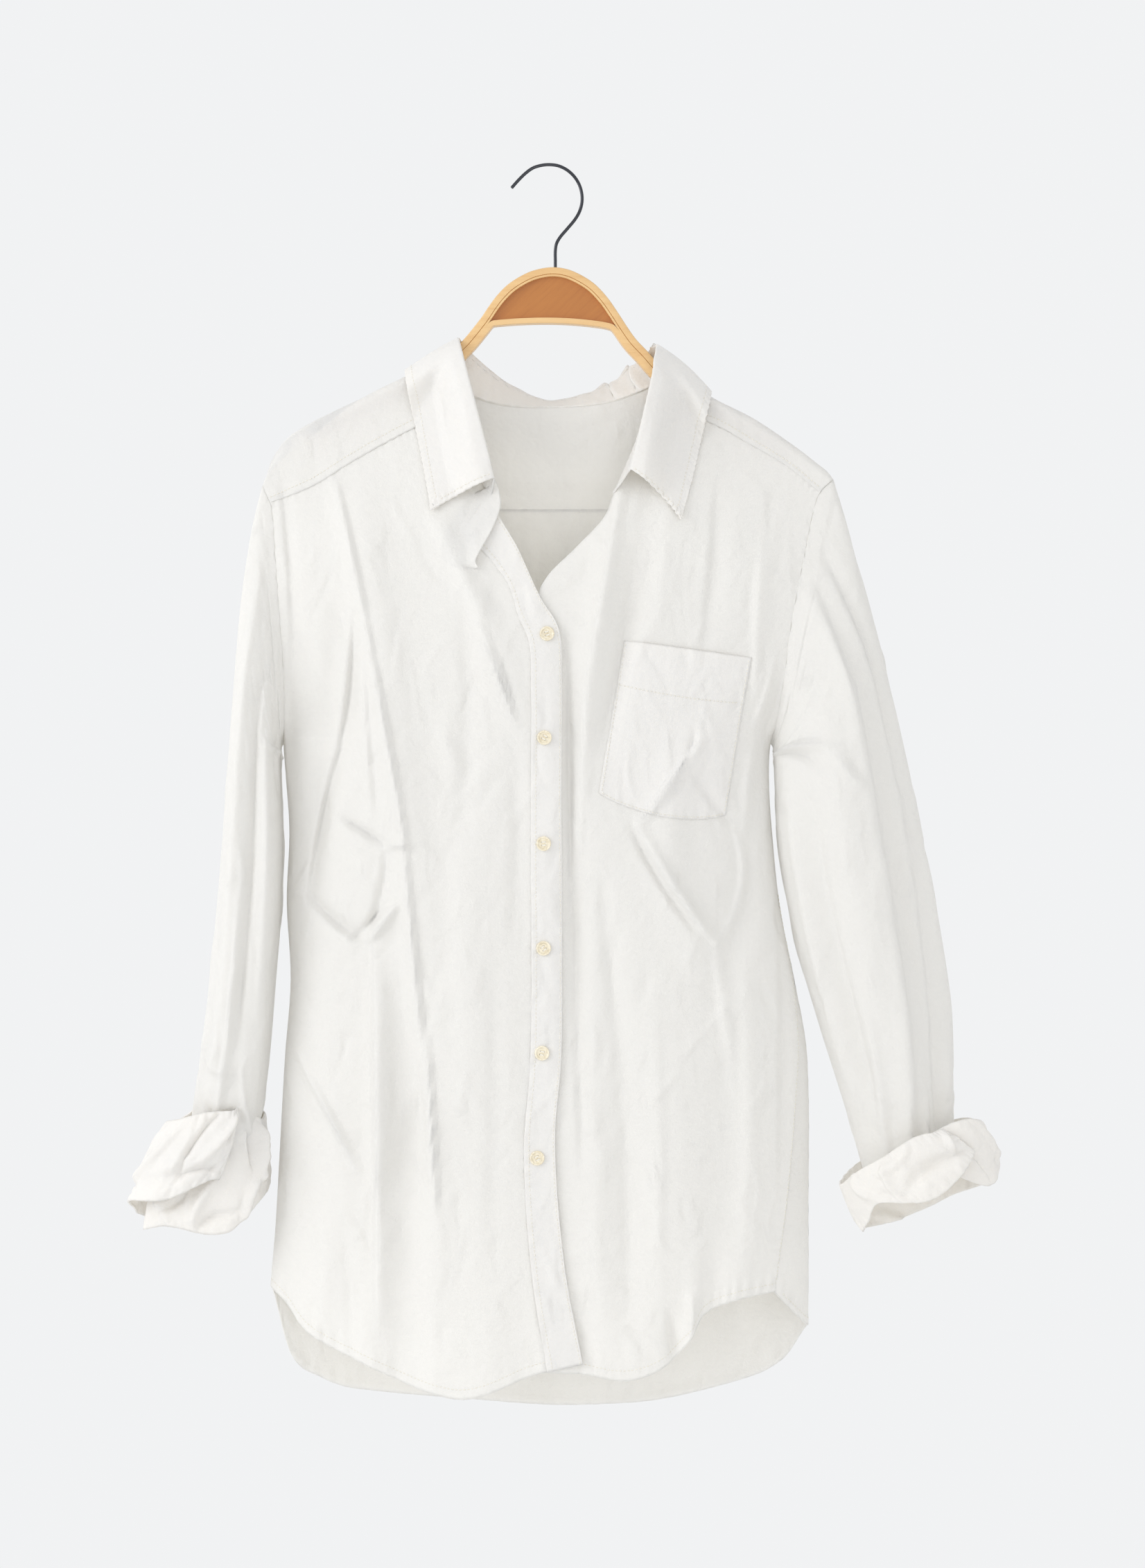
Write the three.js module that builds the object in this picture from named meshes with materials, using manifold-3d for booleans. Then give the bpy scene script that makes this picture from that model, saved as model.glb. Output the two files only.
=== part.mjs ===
// A long-sleeved cotton blouse, hanging on a bent-wood clothes hanger with a wire hook.
// Millimetres, +Z up, +X to the viewer's right, front of the blouse towards -Y.
// The origin is the inside top of the hook, where the hanger is held.
import * as THREE from "three";
import { mergeVertices } from "three/addons/utils/BufferGeometryUtils.js";
import Module from "manifold-3d";

const wasm = await Module();
wasm.setup();

// ---------------------------------------------------------------- driving sizes

const CLOTH_WALL = 1.2;
const COLLAR_WALL = 1.6;
const CUFF_WALL = 1.8;
const SEAM_GAP = 0.3;
const ARMHOLE_GAP = 0.9;
const PLACKET_WIDTH = 25;
const FRONT_OVERLAP_STEP = 3.6;
const YOKE_SEAM_GAP = 0.9;
const POCKET_LIFT = 3.4; // over the cloth it is sewn on, middle to middle
const PLACKET_LIFT = 2.1;
const PLACKET_ROWS_ABOVE = 5; // rows of the front that run above the placket
const FRONT_GIRTH = 238; // across a front from its edge to its side

const RIDGE_RADIUS = 8; // the cloth's bend over the top of the hanger
const RIDGE_SPREAD = 120; // below the ridge, the way down over which the cloth reaches its full depth
const SECTION_POWER = 2.6; // how square a level section of the body is
const SLEEVE_POWER = 0.85;
const CUFF_POWER = 0.9;
const SEAM_SOFTNESS = 12; // half depth of a side seam over which its corner gets rounder
const SIDE_FADE_POWER = 8; // how late a fold fades out towards a side
const FOLD_ENDS = [0.12, 0.88]; // share of a half wave where a fold starts and ends
const COLLAR_BULGE = 5;

const SHOULDER_TIP = { left: -249.3, right: -244.4 };
const UNDERARM = -450;
const BACK_YOKE_SEAM = -268;

const WOOD_THICKNESS = 11;
const BOW_DEPTH = 6.4;
const RAIL_DEPTH = 5.2;
const CHAMFER = { arm: 3, arch: 1, rail: 0.8 };
const ARCH_REACH = 80; // x past which the bow is an arm
const LAMINATION_GAP = 0.6;
const PANEL = 5;
const WIRE = 2.6;
const HOOK_RADIUS = 25;

const BUTTON = { radius: 5.6, thickness: 2.4, rim: 0.5, dish: 3.4 };
const BUTTON_SIDES = 12;

const COLOURS = {
  cotton: "#f2f0ea",
  wood: "#dca663",
  veneer: "#c68845",
  steel: "#b9bcc0",
  pearl: "#efe8d4",
};

// ---------------------------------------------------------------- tables

function table(columns, rows) {
  return rows.map((row) =>
    Object.fromEntries(columns.map((name, i) => [name, row[i]])),
  );
}

// Top line of the shoulders, where the cloth lies over the hanger.
const RIDGE = table(
  ["x", "z"],
  [
    [-226, -262],
    [-223.6, -249.3],
    [-217.5, -231],
    [-202, -210.5],
    [-160, -187.5],
    [-112, -164],
    [-84, -150.5],
    [-60, -145],
    [0, -143],
    [62, -144.5],
    [90, -155],
    [125, -179.5],
    [158, -196.5],
    [183, -213],
    [207, -231],
    [220.6, -244.4],
    [223, -258],
  ],
);

// Level sections of the body. left and right are the armhole seams down to the underarm and the
// side edges below it; seam is the half depth there; front and back are the half depths amid.
const LEVELS = table(
  ["z", "left", "right", "front", "back", "seam"],
  [
    [-244, -224.5, 221, 22, 19, 9],
    [-254, -221, 210.5, 23, 20, 11],
    [-266, -216, 205.5, 24, 20, 12],
    [-298, -213, 198.5, 28, 23, 16],
    [-359, -208, 186.5, 35, 28, 20],
    [-402, -205.5, 181, 38, 30, 17],
    [-436, -206, 175.5, 40, 32, 7],
    [-450, -207, 171.8, 41, 32, 0],
    [-475, -205.3, 170.5, 42, 33, 0],
    [-518, -202.5, 172.5, 43, 34, 0],
    [-573, -204.5, 178, 44, 35, 0],
    [-634, -201.5, 190.5, 45, 36, 0],
    [-695, -206, 200.5, 46, 37, 0],
    [-824, -213.2, 201.5, 48, 38, 0],
    [-873, -217, 201.5, 49, 38, 0],
    [-980, -219, 200, 50, 38, 0],
  ],
);

// Neck seam on the cloth: down is the way below the ridge, less than 0 at the front.
// fold and edge are points of the collar's fold line and of its outer edge.
const COLLAR = table(
  ["x", "down", "foldX", "foldY", "foldZ", "edgeX", "edgeY", "edgeZ"],
  [
    [-45, -124, -42, -37, -246.5, -91, -32, -271],
    [-56, -98, -50, -41, -215, -97, -29, -240],
    [-68, -64, -59, -38, -180, -104, -26, -205],
    [-79, -26, -67, -23, -149, -110, -18, -176],
    [-84, 0, -69.7, -4, -135.5, -111.8, -1, -159],
    [-79, 24, -63, 15, -142, -102, 22, -177],
    [-45, 44, -33, 33, -165, -62, 37, -206],
    [4, 48, 0, 40, -177, 2, 44, -224],
    [50, 43, 44, 36, -168, 62, 38, -214],
    [81, 24, 73, 17, -149, 110, 23, -196],
    [90, 0, 82, -4, -141.5, 125.3, -1, -175.5],
    [82, -26, 80, -27, -162, 120, -21, -203],
    [71, -66, 73, -40, -195, 113, -29, -236],
    [58, -100, 67, -41, -222, 107, -31, -259],
    [49, -119, 62.5, -37, -240, 101.4, -32, -277.4],
  ],
);
// Shares of the neck seam where the yoke's front seams end and where it crosses the ridge.
const NECK = {
  left: 0.168,
  leftRidge: 0.2874,
  rightRidge: 0.7123,
  right: 0.823,
  seamGap: 0.004,
};
const SIDE_SHARE = 0.1; // share of the yoke's edge from a front seam to the ridge

const YOKE_FRONT_LEFT = table(
  ["x", "z"],
  [
    [-72.5, -190],
    [-106.3, -204.7],
    [-153.4, -231],
    [-184, -250],
    [-217, -263],
  ],
);
const YOKE_FRONT_RIGHT = table(
  ["x", "z"],
  [
    [76.5, -190],
    [121.6, -203.5],
    [152.1, -218.7],
    [182.7, -235.2],
    [209.5, -255],
  ],
);

// Front edge of the lapped front, from the neck seam's end to the hem.
const LAPPED_EDGE = table(
  ["x", "z"],
  [
    [-45, -265],
    [-37, -279],
    [-25, -299],
    [-7, -338],
    [7, -362],
    [9.5, -400],
    [9.2, -481],
    [9.8, -604],
    [9.2, -689],
    [4.5, -756],
    [11.6, -848],
    [25.7, -924.4],
  ],
);
// Front edge of the front under it; below the first button it runs hidden.
const UNDER_EDGE = table(
  ["x", "z"],
  [
    [49, -260],
    [42, -277],
    [20.8, -299],
    [-2, -322],
    [-12, -346],
    [-14, -420],
    [-14, -604],
    [-17, -690],
    [-20, -760],
    [-14, -848],
    [-4, -931],
  ],
);

const HEM_FRONT_LEFT = table(
  ["x", "z"],
  [
    [-217, -872.5],
    [-205, -882],
    [-184, -911],
    [-135, -933.6],
    [-98.4, -948.9],
    [-61.7, -954],
    [-12.8, -935],
    [25.7, -924.4],
  ],
);
const HEM_FRONT_RIGHT = table(
  ["x", "z"],
  [
    [-4, -931],
    [25.7, -934],
    [60.5, -939.7],
    [88, -931],
    [107, -911],
    [118, -889],
    [142, -877],
    [173.5, -873],
  ],
);
const HEM_BACK = table(
  ["x", "z"],
  [
    [-217, -872.5],
    [-203, -925],
    [-181, -944],
    [-153, -954],
    [-61, -962],
    [24, -967],
    [97, -960],
    [152, -944],
    [183, -928],
    [201, -903],
  ],
);
// Side seam on the viewer's right, where the back comes round to the front face.
const SIDE_SEAM_RIGHT = table(
  ["z", "inset"],
  [
    [-450, 0],
    [-604, 0],
    [-726, 12],
    [-799, 18.5],
    [-873, 28],
    [-980, 34],
  ],
);

// Largest folds: a soft ridge (rise over 0) or trough along a path of three points.
const FOLDS = table(
  ["face", "x1", "z1", "x2", "z2", "x3", "z3", "width", "rise"],
  [
    ["front", -153, -235, -124, -420, -88, -640, 17, 7],
    ["front", -88, -640, -82, -760, -88, -935, 13, 6],
    ["front", -160, -352, -181, -470, -184, -565, 12, -6],
    ["front", -128, -640, -132, -740, -130, -885, 9, 8],
    ["front", -112, -640, -108, -760, -104, -935, 12, -7],
    ["front", -86, -262, -48, -370, -22, -442, 14, 5],
    ["front", -200, -330, -184, -420, -200, -470, 12, -5],
    ["front", -58, -480, -46, -640, -52, -930, 24, 5],
    ["front", -180, -610, -172, -700, -150, -930, 20, 5],
    ["front", 12, -372, 22, -560, 14, -700, 10, -6],
    ["front", 54, -268, 38, -380, 18, -520, 14, 6],
    ["front", 64, -300, 50, -380, 36, -455, 12, -5],
    ["front", 116, -450, 64, -514, 120, -620, 16, 6],
    ["front", 150, -480, 162, -560, 128, -640, 14, -5],
    ["front", 39, -560, 54, -690, 60, -900, 16, -6],
    ["front", 24, -660, 34, -780, 40, -930, 12, 6],
    ["front", 92, -640, 98, -780, 100, -920, 18, 6],
    ["front", 132, -640, 140, -760, 132, -880, 15, -5],
    ["front", 185, -381, 174, -440, 168, -482, 10, -6],
    ["back", -120, -280, -128, -560, -140, -940, 22, 8],
    ["back", -70, -300, -62, -600, -76, -950, 20, -7],
    ["back", -18, -290, -6, -600, -14, -955, 18, 8],
    ["back", 36, -300, 44, -560, 30, -950, 18, -6],
    ["back", 92, -290, 84, -600, 96, -950, 22, 8],
    ["back", 142, -320, 136, -620, 150, -930, 18, -6],
    ["back", -176, -420, -168, -640, -180, -900, 16, -6],
  ],
);

// Sleeve rings: outer and inner end, half depth and its centre's y.
const SLEEVE_COLUMNS = ["outX", "outZ", "inX", "inZ", "depth", "y", "hold"];
const SLEEVE_LEFT = table(SLEEVE_COLUMNS, [
  [-224.4, -250, -208.2, -451.5, 20, 0, 1],
  [-229, -268, -209.6, -453.5, 24, 0, 0.85],
  [-234, -294, -210, -456, 31, 0, 0.5],
  [-240, -340, -210, -461, 39, 0, 0.2],
  [-244, -392, -209.8, -470, 44, 0, 0],
  [-248, -446, -209, -490, 47, 0, 0],
  [-252, -508, -208, -528, 48, 0, 0],
  [-257, -566, -209.5, -578, 48, 0, 0],
  [-263, -626, -214, -636, 46, 0, 0],
  [-270, -685, -218.5, -692, 43, 0, 0],
  [-277, -732, -224, -736, 40, 0, 0],
  [-283, -775, -232, -778, 36, 0, 0],
]);
const SLEEVE_RIGHT = table(SLEEVE_COLUMNS, [
  [221.4, -245.2, 173, -451.5, 20, 0, 1],
  [229, -270, 174.5, -453, 23, 0, 0.8],
  [239, -306, 175, -456, 27, 0, 0.5],
  [250, -346, 175, -460, 31, 0, 0.2],
  [262, -394, 175, -467, 35, 0, 0],
  [275, -458, 175.6, -482, 38, 0, 0],
  [288.5, -526, 178.5, -532, 39, 0, 0],
  [301, -595, 191, -601, 37, 0, 0],
  [310.5, -655, 208.5, -663, 34, 2, 0],
  [314.5, -708, 226, -718, 30, 5, 0],
  [315.5, -742, 238, -757, 27, 8, 0],
  [319, -775, 249.6, -802, 27, 6, 0],
]);
// Folds down a sleeve: turn is the way round from the outer end through the front, in degrees.
const SLEEVE_FOLDS = {
  left: table(
    ["turn", "from", "to", "width", "rise"],
    [
      [48, 0.3, 1, 20, 4],
      [95, 0.25, 1, 18, -5],
      [140, 0.35, 0.95, 16, 4],
      [235, 0.3, 1, 22, -5],
      [300, 0.3, 1, 20, 4],
    ],
  ),
  right: table(
    ["turn", "from", "to", "width", "rise"],
    [
      [52, 0.3, 1, 16, -7],
      [92, 0.25, 1, 18, 6],
      [128, 0.35, 0.95, 14, -4],
      [230, 0.3, 1, 22, 5],
      [295, 0.3, 1, 20, -5],
    ],
  ),
};

// Turned-back cuffs: centre of each ring, half length and half depth, slope and tilt in degrees.
const CUFF_COLUMNS = ["x", "y", "z", "length", "depth", "slope", "tilt"];
const CUFF_LEFT = table(CUFF_COLUMNS, [
  [-254, 0, -741, 34, 45, 2, 4],
  [-260, -1, -762, 42, 48, 6, 6],
  [-268, -3, -786, 48, 49, 8, 8],
  [-274, -6, -808, 44, 46, 2, 12],
]);
const CUFF_RIGHT = table(CUFF_COLUMNS, [
  [279, 10.2, -769.5, 57, 37, 23, 26],
  [284, 3, -781, 59, 39, 23, 26],
  [290, -3, -793.5, 57, 38, 23, 26],
  [294.5, -9, -804.5, 54, 36, 22, 26],
]);
const CUFF_FACETS = 5;
const CUFF_FACET_RISE = 0.05;

// Breast pocket on the viewer's right, corners and the points between them.
const POCKET = {
  topLeft: [57.7, -371],
  topRight: [155.8, -384],
  bottomLeft: [37.9, -488],
  bottomRight: [136, -505],
  bottomDip: 10,
  dipPower: 0.7,
};

const BUTTONS = table(
  ["x", "z"],
  [
    [-1.8, -366],
    [-3.7, -446],
    [-4.3, -527],
    [-4.3, -607],
    [-5.5, -687],
    [-9.2, -767],
  ],
);

// Outer edge of the bent-wood bow over the arch; the arms on both sides lie close under the ridge.
const ARCH = table(
  ["x", "z"],
  [
    [-69.7, -145],
    [-56.5, -130.4],
    [-47.7, -114.3],
    [-35.4, -97.1],
    [-18.3, -85.2],
    [4.5, -79.4],
    [26.6, -85.2],
    [43.7, -99],
    [54.1, -116],
    [64.4, -131.7],
    [76, -146],
  ],
);
const ARM_START = { left: -84, right: 90 };
const ARM_END = { left: -192, right: 190 };
const ARM_UNDER_RIDGE = CLOTH_WALL / 2 + 2.7;
// Top edge of the bottom rail, which joins the arms under the arch.
const RAIL = table(
  ["x", "z"],
  [
    [-50, -123.4],
    [-40, -121.9],
    [0, -120.4],
    [30, -123],
    [47, -125.6],
    [57, -127.5],
  ],
);
// Shares of the bow's length where the arms' second laminations start and end.
const LAMINATIONS = { left: [0.006, 0.338], right: [0.66, 0.994] };

// ---------------------------------------------------------------- small maths

const mix = (a, b, t) => a + (b - a) * t;
const clamp = (v, low, high) => Math.min(high, Math.max(low, v));
function ease(t) {
  const c = clamp(t, 0, 1);
  return c * c * (3 - 2 * c);
}

// A smooth curve through a table's column, read at a value of its key column.
function columnCurve(rows, key, column) {
  const sorted = [...rows].sort((a, b) => a[key] - b[key]);
  const slope = sorted.map((row, i) => {
    const before = sorted[Math.max(0, i - 1)];
    const after = sorted[Math.min(sorted.length - 1, i + 1)];
    return (after[column] - before[column]) / (after[key] - before[key]);
  });
  return (value) => {
    const v = clamp(value, sorted[0][key], sorted[sorted.length - 1][key]);
    let i = 0;
    while (i < sorted.length - 2 && v > sorted[i + 1][key]) i += 1;
    const span = sorted[i + 1][key] - sorted[i][key];
    const t = (v - sorted[i][key]) / span;
    const [t2, t3] = [t * t, t * t * t];
    return (
      (2 * t3 - 3 * t2 + 1) * sorted[i][column] +
      (t3 - 2 * t2 + t) * span * slope[i] +
      (3 * t2 - 2 * t3) * sorted[i + 1][column] +
      (t3 - t2) * span * slope[i + 1]
    );
  };
}

// A smooth path through rows in their order, read at a share of its length.
function pathThrough(rows, columns) {
  const at = [0];
  for (let i = 1; i < rows.length; i += 1) {
    const step = Math.hypot(...columns.map((c) => rows[i][c] - rows[i - 1][c]));
    at.push(at[i - 1] + step);
  }
  const total = at[at.length - 1];
  const keyed = rows.map((row, i) => ({ ...row, way: at[i] / total }));
  const curves = columns.map((c) => columnCurve(keyed, "way", c));
  return (share) => curves.map((curve) => curve(share));
}

// A patch between four boundary curves that share their corners, in two coordinates.
function patch(top, bottom, left, right) {
  const corner = [top(0), top(1), bottom(0), bottom(1)];
  return (s, t) => {
    const [a, b, c, d] = [top(s), bottom(s), left(t), right(t)];
    return [0, 1].map(
      (k) =>
        mix(a[k], b[k], t) +
        mix(c[k], d[k], s) -
        mix(mix(corner[0][k], corner[1][k], s), mix(corner[2][k], corner[3][k], s), t),
    );
  };
}

// ---------------------------------------------------------------- the body's surface

const ridge = columnCurve(RIDGE, "x", "z");
const level = Object.fromEntries(
  ["left", "right", "front", "back", "seam"].map((c) => [c, columnCurve(LEVELS, "z", c)]),
);

function acrossAt(x, z) {
  const [left, right] = [level.left(z), level.right(z)];
  return clamp((2 * x - left - right) / (right - left), -1, 1);
}

function foldPoint(fold, t) {
  const u = 1 - t;
  return [
    u * u * fold.x1 + 2 * u * t * fold.x2 + t * t * fold.x3,
    u * u * fold.z1 + 2 * u * t * fold.z2 + t * t * fold.z3,
  ];
}

const FOLD_STEPS = 10;
// The nearest place on a fold's path: how far off it is and its share of the path.
function nearestOn(fold, x, z) {
  let best = { away: Infinity, share: 0 };
  let [ax, az] = foldPoint(fold, 0);
  for (let i = 1; i <= FOLD_STEPS; i += 1) {
    const [bx, bz] = foldPoint(fold, i / FOLD_STEPS);
    const [dx, dz] = [bx - ax, bz - az];
    const t = clamp(((x - ax) * dx + (z - az) * dz) / (dx * dx + dz * dz), 0, 1);
    const away = Math.hypot(x - ax - t * dx, z - az - t * dz);
    if (away < best.away) best = { away, share: (i - 1 + t) / FOLD_STEPS };
    [ax, az] = [bx, bz];
  }
  return best;
}

function foldRise(x, z, face) {
  let rise = 0;
  for (const fold of FOLDS) {
    if (fold.face !== face) continue;
    const { away, share } = nearestOn(fold, x, z);
    const fade = Math.sin(Math.PI * mix(...FOLD_ENDS, share));
    rise += fold.rise * fade * Math.exp(-((away / fold.width) ** 2));
  }
  return rise;
}

// Distance of the cloth from the hanging plane, out to the front or the back.
function depthAt(x, z, face) {
  const seam = Math.max(0, level.seam(z));
  const full = level[face](z);
  const across = Math.abs(acrossAt(x, z));
  const power = mix(0.5, 1, ease(seam / SEAM_SOFTNESS));
  const inside = 1 - across ** SECTION_POWER;
  const open = seam + (full - seam) * inside ** power;
  const drop = ridge(x) - z;
  const bend = drop < RIDGE_RADIUS
    ? Math.sqrt(Math.max(0, RIDGE_RADIUS ** 2 - (RIDGE_RADIUS - drop) ** 2))
    : RIDGE_RADIUS;
  const grown = ease((drop - RIDGE_RADIUS) / RIDGE_SPREAD);
  const folds = foldRise(x, z, face) * grown * (1 - across ** SIDE_FADE_POWER);
  return bend + (open - RIDGE_RADIUS) * grown + folds;
}

function bodyPoint(x, z, face, out = 0) {
  const side = face === "front" ? -1 : 1;
  return new THREE.Vector3(x, side * (depthAt(x, z, face) + out), z);
}

const QUARTER_BEND = (Math.PI / 2) * RIDGE_RADIUS;
const wayDown = (drop) =>
  drop < RIDGE_RADIUS
    ? RIDGE_RADIUS * Math.acos(1 - Math.max(0, drop) / RIDGE_RADIUS)
    : drop - RIDGE_RADIUS + QUARTER_BEND;
const dropOf = (way) =>
  way < QUARTER_BEND
    ? RIDGE_RADIUS * (1 - Math.cos(way / RIDGE_RADIUS))
    : way + RIDGE_RADIUS - QUARTER_BEND;

// A point of the cloth at x and a way down from the ridge, less than 0 at the front.
function clothPoint(x, down) {
  return bodyPoint(x, ridge(x) - dropOf(Math.abs(down)), down < 0 ? "front" : "back");
}

const armholeSide = (side) => (side === "left" ? -1 : 1);
function armholeAt(side, z, face) {
  const x = level[side](z);
  const down = wayDown(ridge(x) - z);
  return [x, face === "front" ? -down : down];
}

// ---------------------------------------------------------------- solids from grids

function geometryOf(points, faces) {
  const positions = points.flatMap((p) => [p.x, p.y, p.z]);
  let volume = 0;
  for (const [a, b, c] of faces)
    volume += points[a].dot(new THREE.Vector3().crossVectors(points[b], points[c]));
  const facing = volume > 0 ? faces : faces.map(([a, b, c]) => [a, c, b]);
  const geometry = new THREE.BufferGeometry();
  geometry.setAttribute("position", new THREE.Float32BufferAttribute(positions, 3));
  geometry.setIndex(facing.flat());
  geometry.computeVertexNormals();
  return geometry;
}

// A cloth wall on both sides of a grid of points; grid[i][j], closed means that i goes round.
function wallGeometry(grid, thickness, closed = false) {
  const [columns, rows] = [grid.length, grid[0].length];
  const pick = (i, j) => {
    const column = closed ? (i + columns) % columns : clamp(i, 0, columns - 1);
    return grid[column][clamp(j, 0, rows - 1)];
  };
  const points = [];
  for (const side of [0.5, -0.5])
    for (let i = 0; i < columns; i += 1)
      for (let j = 0; j < rows; j += 1) {
        const across = pick(i + 1, j).clone().sub(pick(i - 1, j));
        const along = pick(i, j + 1).clone().sub(pick(i, j - 1));
        const normal = across.cross(along).normalize();
        points.push(pick(i, j).clone().addScaledVector(normal, side * thickness));
      }
  const shell = columns * rows;
  const at = (i, j, under) => (i % columns) * rows + j + (under ? shell : 0);
  const faces = [];
  const quad = (a, b, c, d) => faces.push([a, b, c], [a, c, d]);
  const across = closed ? columns : columns - 1;
  for (let i = 0; i < across; i += 1)
    for (let j = 0; j < rows - 1; j += 1) {
      quad(at(i, j), at(i + 1, j), at(i + 1, j + 1), at(i, j + 1));
      quad(at(i, j, 1), at(i, j + 1, 1), at(i + 1, j + 1, 1), at(i + 1, j, 1));
    }
  for (let i = 0; i < across; i += 1) {
    quad(at(i, 0, 1), at(i + 1, 0, 1), at(i + 1, 0), at(i, 0));
    quad(at(i, rows - 1), at(i + 1, rows - 1), at(i + 1, rows - 1, 1), at(i, rows - 1, 1));
  }
  if (!closed)
    for (let j = 0; j < rows - 1; j += 1) {
      quad(at(0, j), at(0, j + 1), at(0, j + 1, 1), at(0, j, 1));
      const last = columns - 1;
      quad(at(last, j, 1), at(last, j + 1, 1), at(last, j + 1), at(last, j));
    }
  return geometryOf(points, faces);
}

function gridOf(columns, rows, pointAt) {
  return Array.from({ length: columns + 1 }, (_, i) =>
    Array.from({ length: rows + 1 }, (__, j) => pointAt(i / columns, j / rows)),
  );
}

// A bar swept along rings of points, closed at both ends.
function barGeometry(rings) {
  const count = rings[0].length;
  const points = rings.flat();
  const faces = [];
  for (let i = 0; i < rings.length - 1; i += 1)
    for (let j = 0; j < count; j += 1) {
      const [a, b] = [i * count + j, i * count + ((j + 1) % count)];
      faces.push([a, b, b + count], [a, b + count, a + count]);
    }
  const last = (rings.length - 1) * count;
  for (let j = 1; j < count - 1; j += 1)
    faces.push([0, j + 1, j], [last, last + j, last + j + 1]);
  return geometryOf(points, faces);
}

// ---------------------------------------------------------------- the blouse

const root = new THREE.Group();
const finish = {
  cotton: new THREE.MeshStandardMaterial({ color: COLOURS.cotton, roughness: 0.9 }),
  wood: new THREE.MeshStandardMaterial({ color: COLOURS.wood, roughness: 0.45 }),
  veneer: new THREE.MeshStandardMaterial({ color: COLOURS.veneer, roughness: 0.4 }),
  steel: new THREE.MeshStandardMaterial({
    color: COLOURS.steel,
    roughness: 0.2,
    metalness: 1,
  }),
  pearl: new THREE.MeshStandardMaterial({ color: COLOURS.pearl, roughness: 0.3 }),
};

function addPiece(name, geometry, material) {
  const mesh = new THREE.Mesh(geometry, material);
  mesh.name = name;
  root.add(mesh);
  return mesh;
}

const neckSeam = pathThrough(COLLAR, ["x", "down"]);
const NECK_CENTRE_X = 4;
const NECK_SIDE_X = 60; // x where the neck seam runs fully down the cloth

// Neck seam moved off the collar's stand by a seam's gap, in x and way down.
function neckEdge(share) {
  const [x, down] = neckSeam(share);
  const clear = CLOTH_WALL / 2 + SEAM_GAP;
  const sideways = clamp(Math.abs(x) / NECK_SIDE_X, 0, 1);
  return [
    x + Math.sign(x - NECK_CENTRE_X) * clear * sideways,
    down + Math.sign(down) * clear * (1 - sideways / 2),
  ];
}

const toFront = ([x, down]) => [x, ridge(x) - dropOf(Math.abs(down))];

// Curve through a table's points between two shares of a path, shifted.
function edgeCurve(rows, shift = [0, 0]) {
  const path = pathThrough(rows, ["x", "z"]);
  return (t) => path(t).map((v, k) => v + shift[k]);
}

function joinCurves(first, second, split) {
  return (t) => (t < split ? first(t / split) : second((t - split) / (1 - split)));
}

// Side of a front: the armhole from the yoke seam to the underarm, and the side edge to the hem.
function sideCurve(side, from, to, inset = () => 0) {
  const out = armholeSide(side);
  return (t) => {
    const z = mix(from, to, t);
    return [level[side](z) - out * inset(z), z];
  };
}

const seamInset = columnCurve(SIDE_SEAM_RIGHT, "z", "inset");

const NECK_SHARE = 0.13; // of a front's inner side, from the yoke seam to the neck seam's end
const EDGE_BLEND = 1 / 12; // share of the front edge over which it meets the neck seam

function frontPatch(side) {
  const left = side === "left";
  const seam = left ? YOKE_FRONT_LEFT : YOKE_FRONT_RIGHT;
  const [seamStart, seamEnd] = left
    ? [0, NECK.left - NECK.seamGap]
    : [1, NECK.right + NECK.seamGap];
  const neck = (t) => toFront(neckEdge(mix(seamEnd, seamStart, t)));
  const edge = edgeCurve(left ? LAPPED_EDGE : UNDER_EDGE);
  const hem = edgeCurve(left ? HEM_FRONT_LEFT : HEM_FRONT_RIGHT);
  const neckEnd = neck(1);
  const edgeStart = edge(0);
  const blended = (t) => {
    const near = Math.max(0, 1 - t / EDGE_BLEND);
    return edge(t).map((v, k) => v + (neckEnd[k] - edgeStart[k]) * near);
  };
  const inner = joinCurves(neck, blended, NECK_SHARE);
  const top = edgeCurve(seam, [0, -YOKE_SEAM_GAP]);
  const gap = SEAM_GAP / 2;
  const outerZ = [top(1)[1], left ? hem(0)[1] : hem(1)[1]];
  const outer = sideCurve(side, outerZ[0], outerZ[1], (z) => gap + (left ? 0 : seamInset(z)));
  const innerStart = inner(0);
  const corner = {
    inner: innerStart.map((v, k) => v - top(0)[k]),
    outer: outer(0).map((v, k) => v - top(1)[k]),
  };
  const yokeEdge = (s) => top(s).map((v, k) => v + mix(corner.inner[k], corner.outer[k], s));
  const hemInner = inner(1);
  const hemOuter = outer(1);
  const hemEdge = (s) => {
    const raw = left ? hem(1 - s) : hem(s);
    const [a, b] = left ? [hem(1), hem(0)] : [hem(0), hem(1)];
    return raw.map((v, k) => v + mix(hemInner[k] - a[k], hemOuter[k] - b[k], s));
  };
  return patch(yokeEdge, hemEdge, inner, outer);
}

// Columns crowd towards the side, where the cloth turns round to the back.
const crowdToSide = (u) => Math.sin((Math.PI / 2) * u);

const OVERLAP_END = 46; // x where the under front comes level with the lapped one
const OVERLAP_BLEND = 28;
const OVERLAP_TOP = { z: -300, blend: 30 };
function frontOut(side, x, z) {
  if (side === "left") return 0;
  const below = ease((OVERLAP_TOP.z - z) / OVERLAP_TOP.blend);
  return -FRONT_OVERLAP_STEP * ease((OVERLAP_END - x) / OVERLAP_BLEND) * below;
}

function addFront(name, side, columns, rows) {
  const at = frontPatch(side);
  const grid = gridOf(columns, rows, (u, t) => {
    const [x, z] = at(crowdToSide(u), t);
    return bodyPoint(x, z, "front", frontOut(side, x, z));
  });
  addPiece(name, wallGeometry(grid, CLOTH_WALL), finish.cotton);
  return at;
}

const SIDE_CLEARANCE = 0.03; // turn kept free at a side seam, in radians
const WRAP_START = -590; // below it the back comes round to the front face
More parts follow.
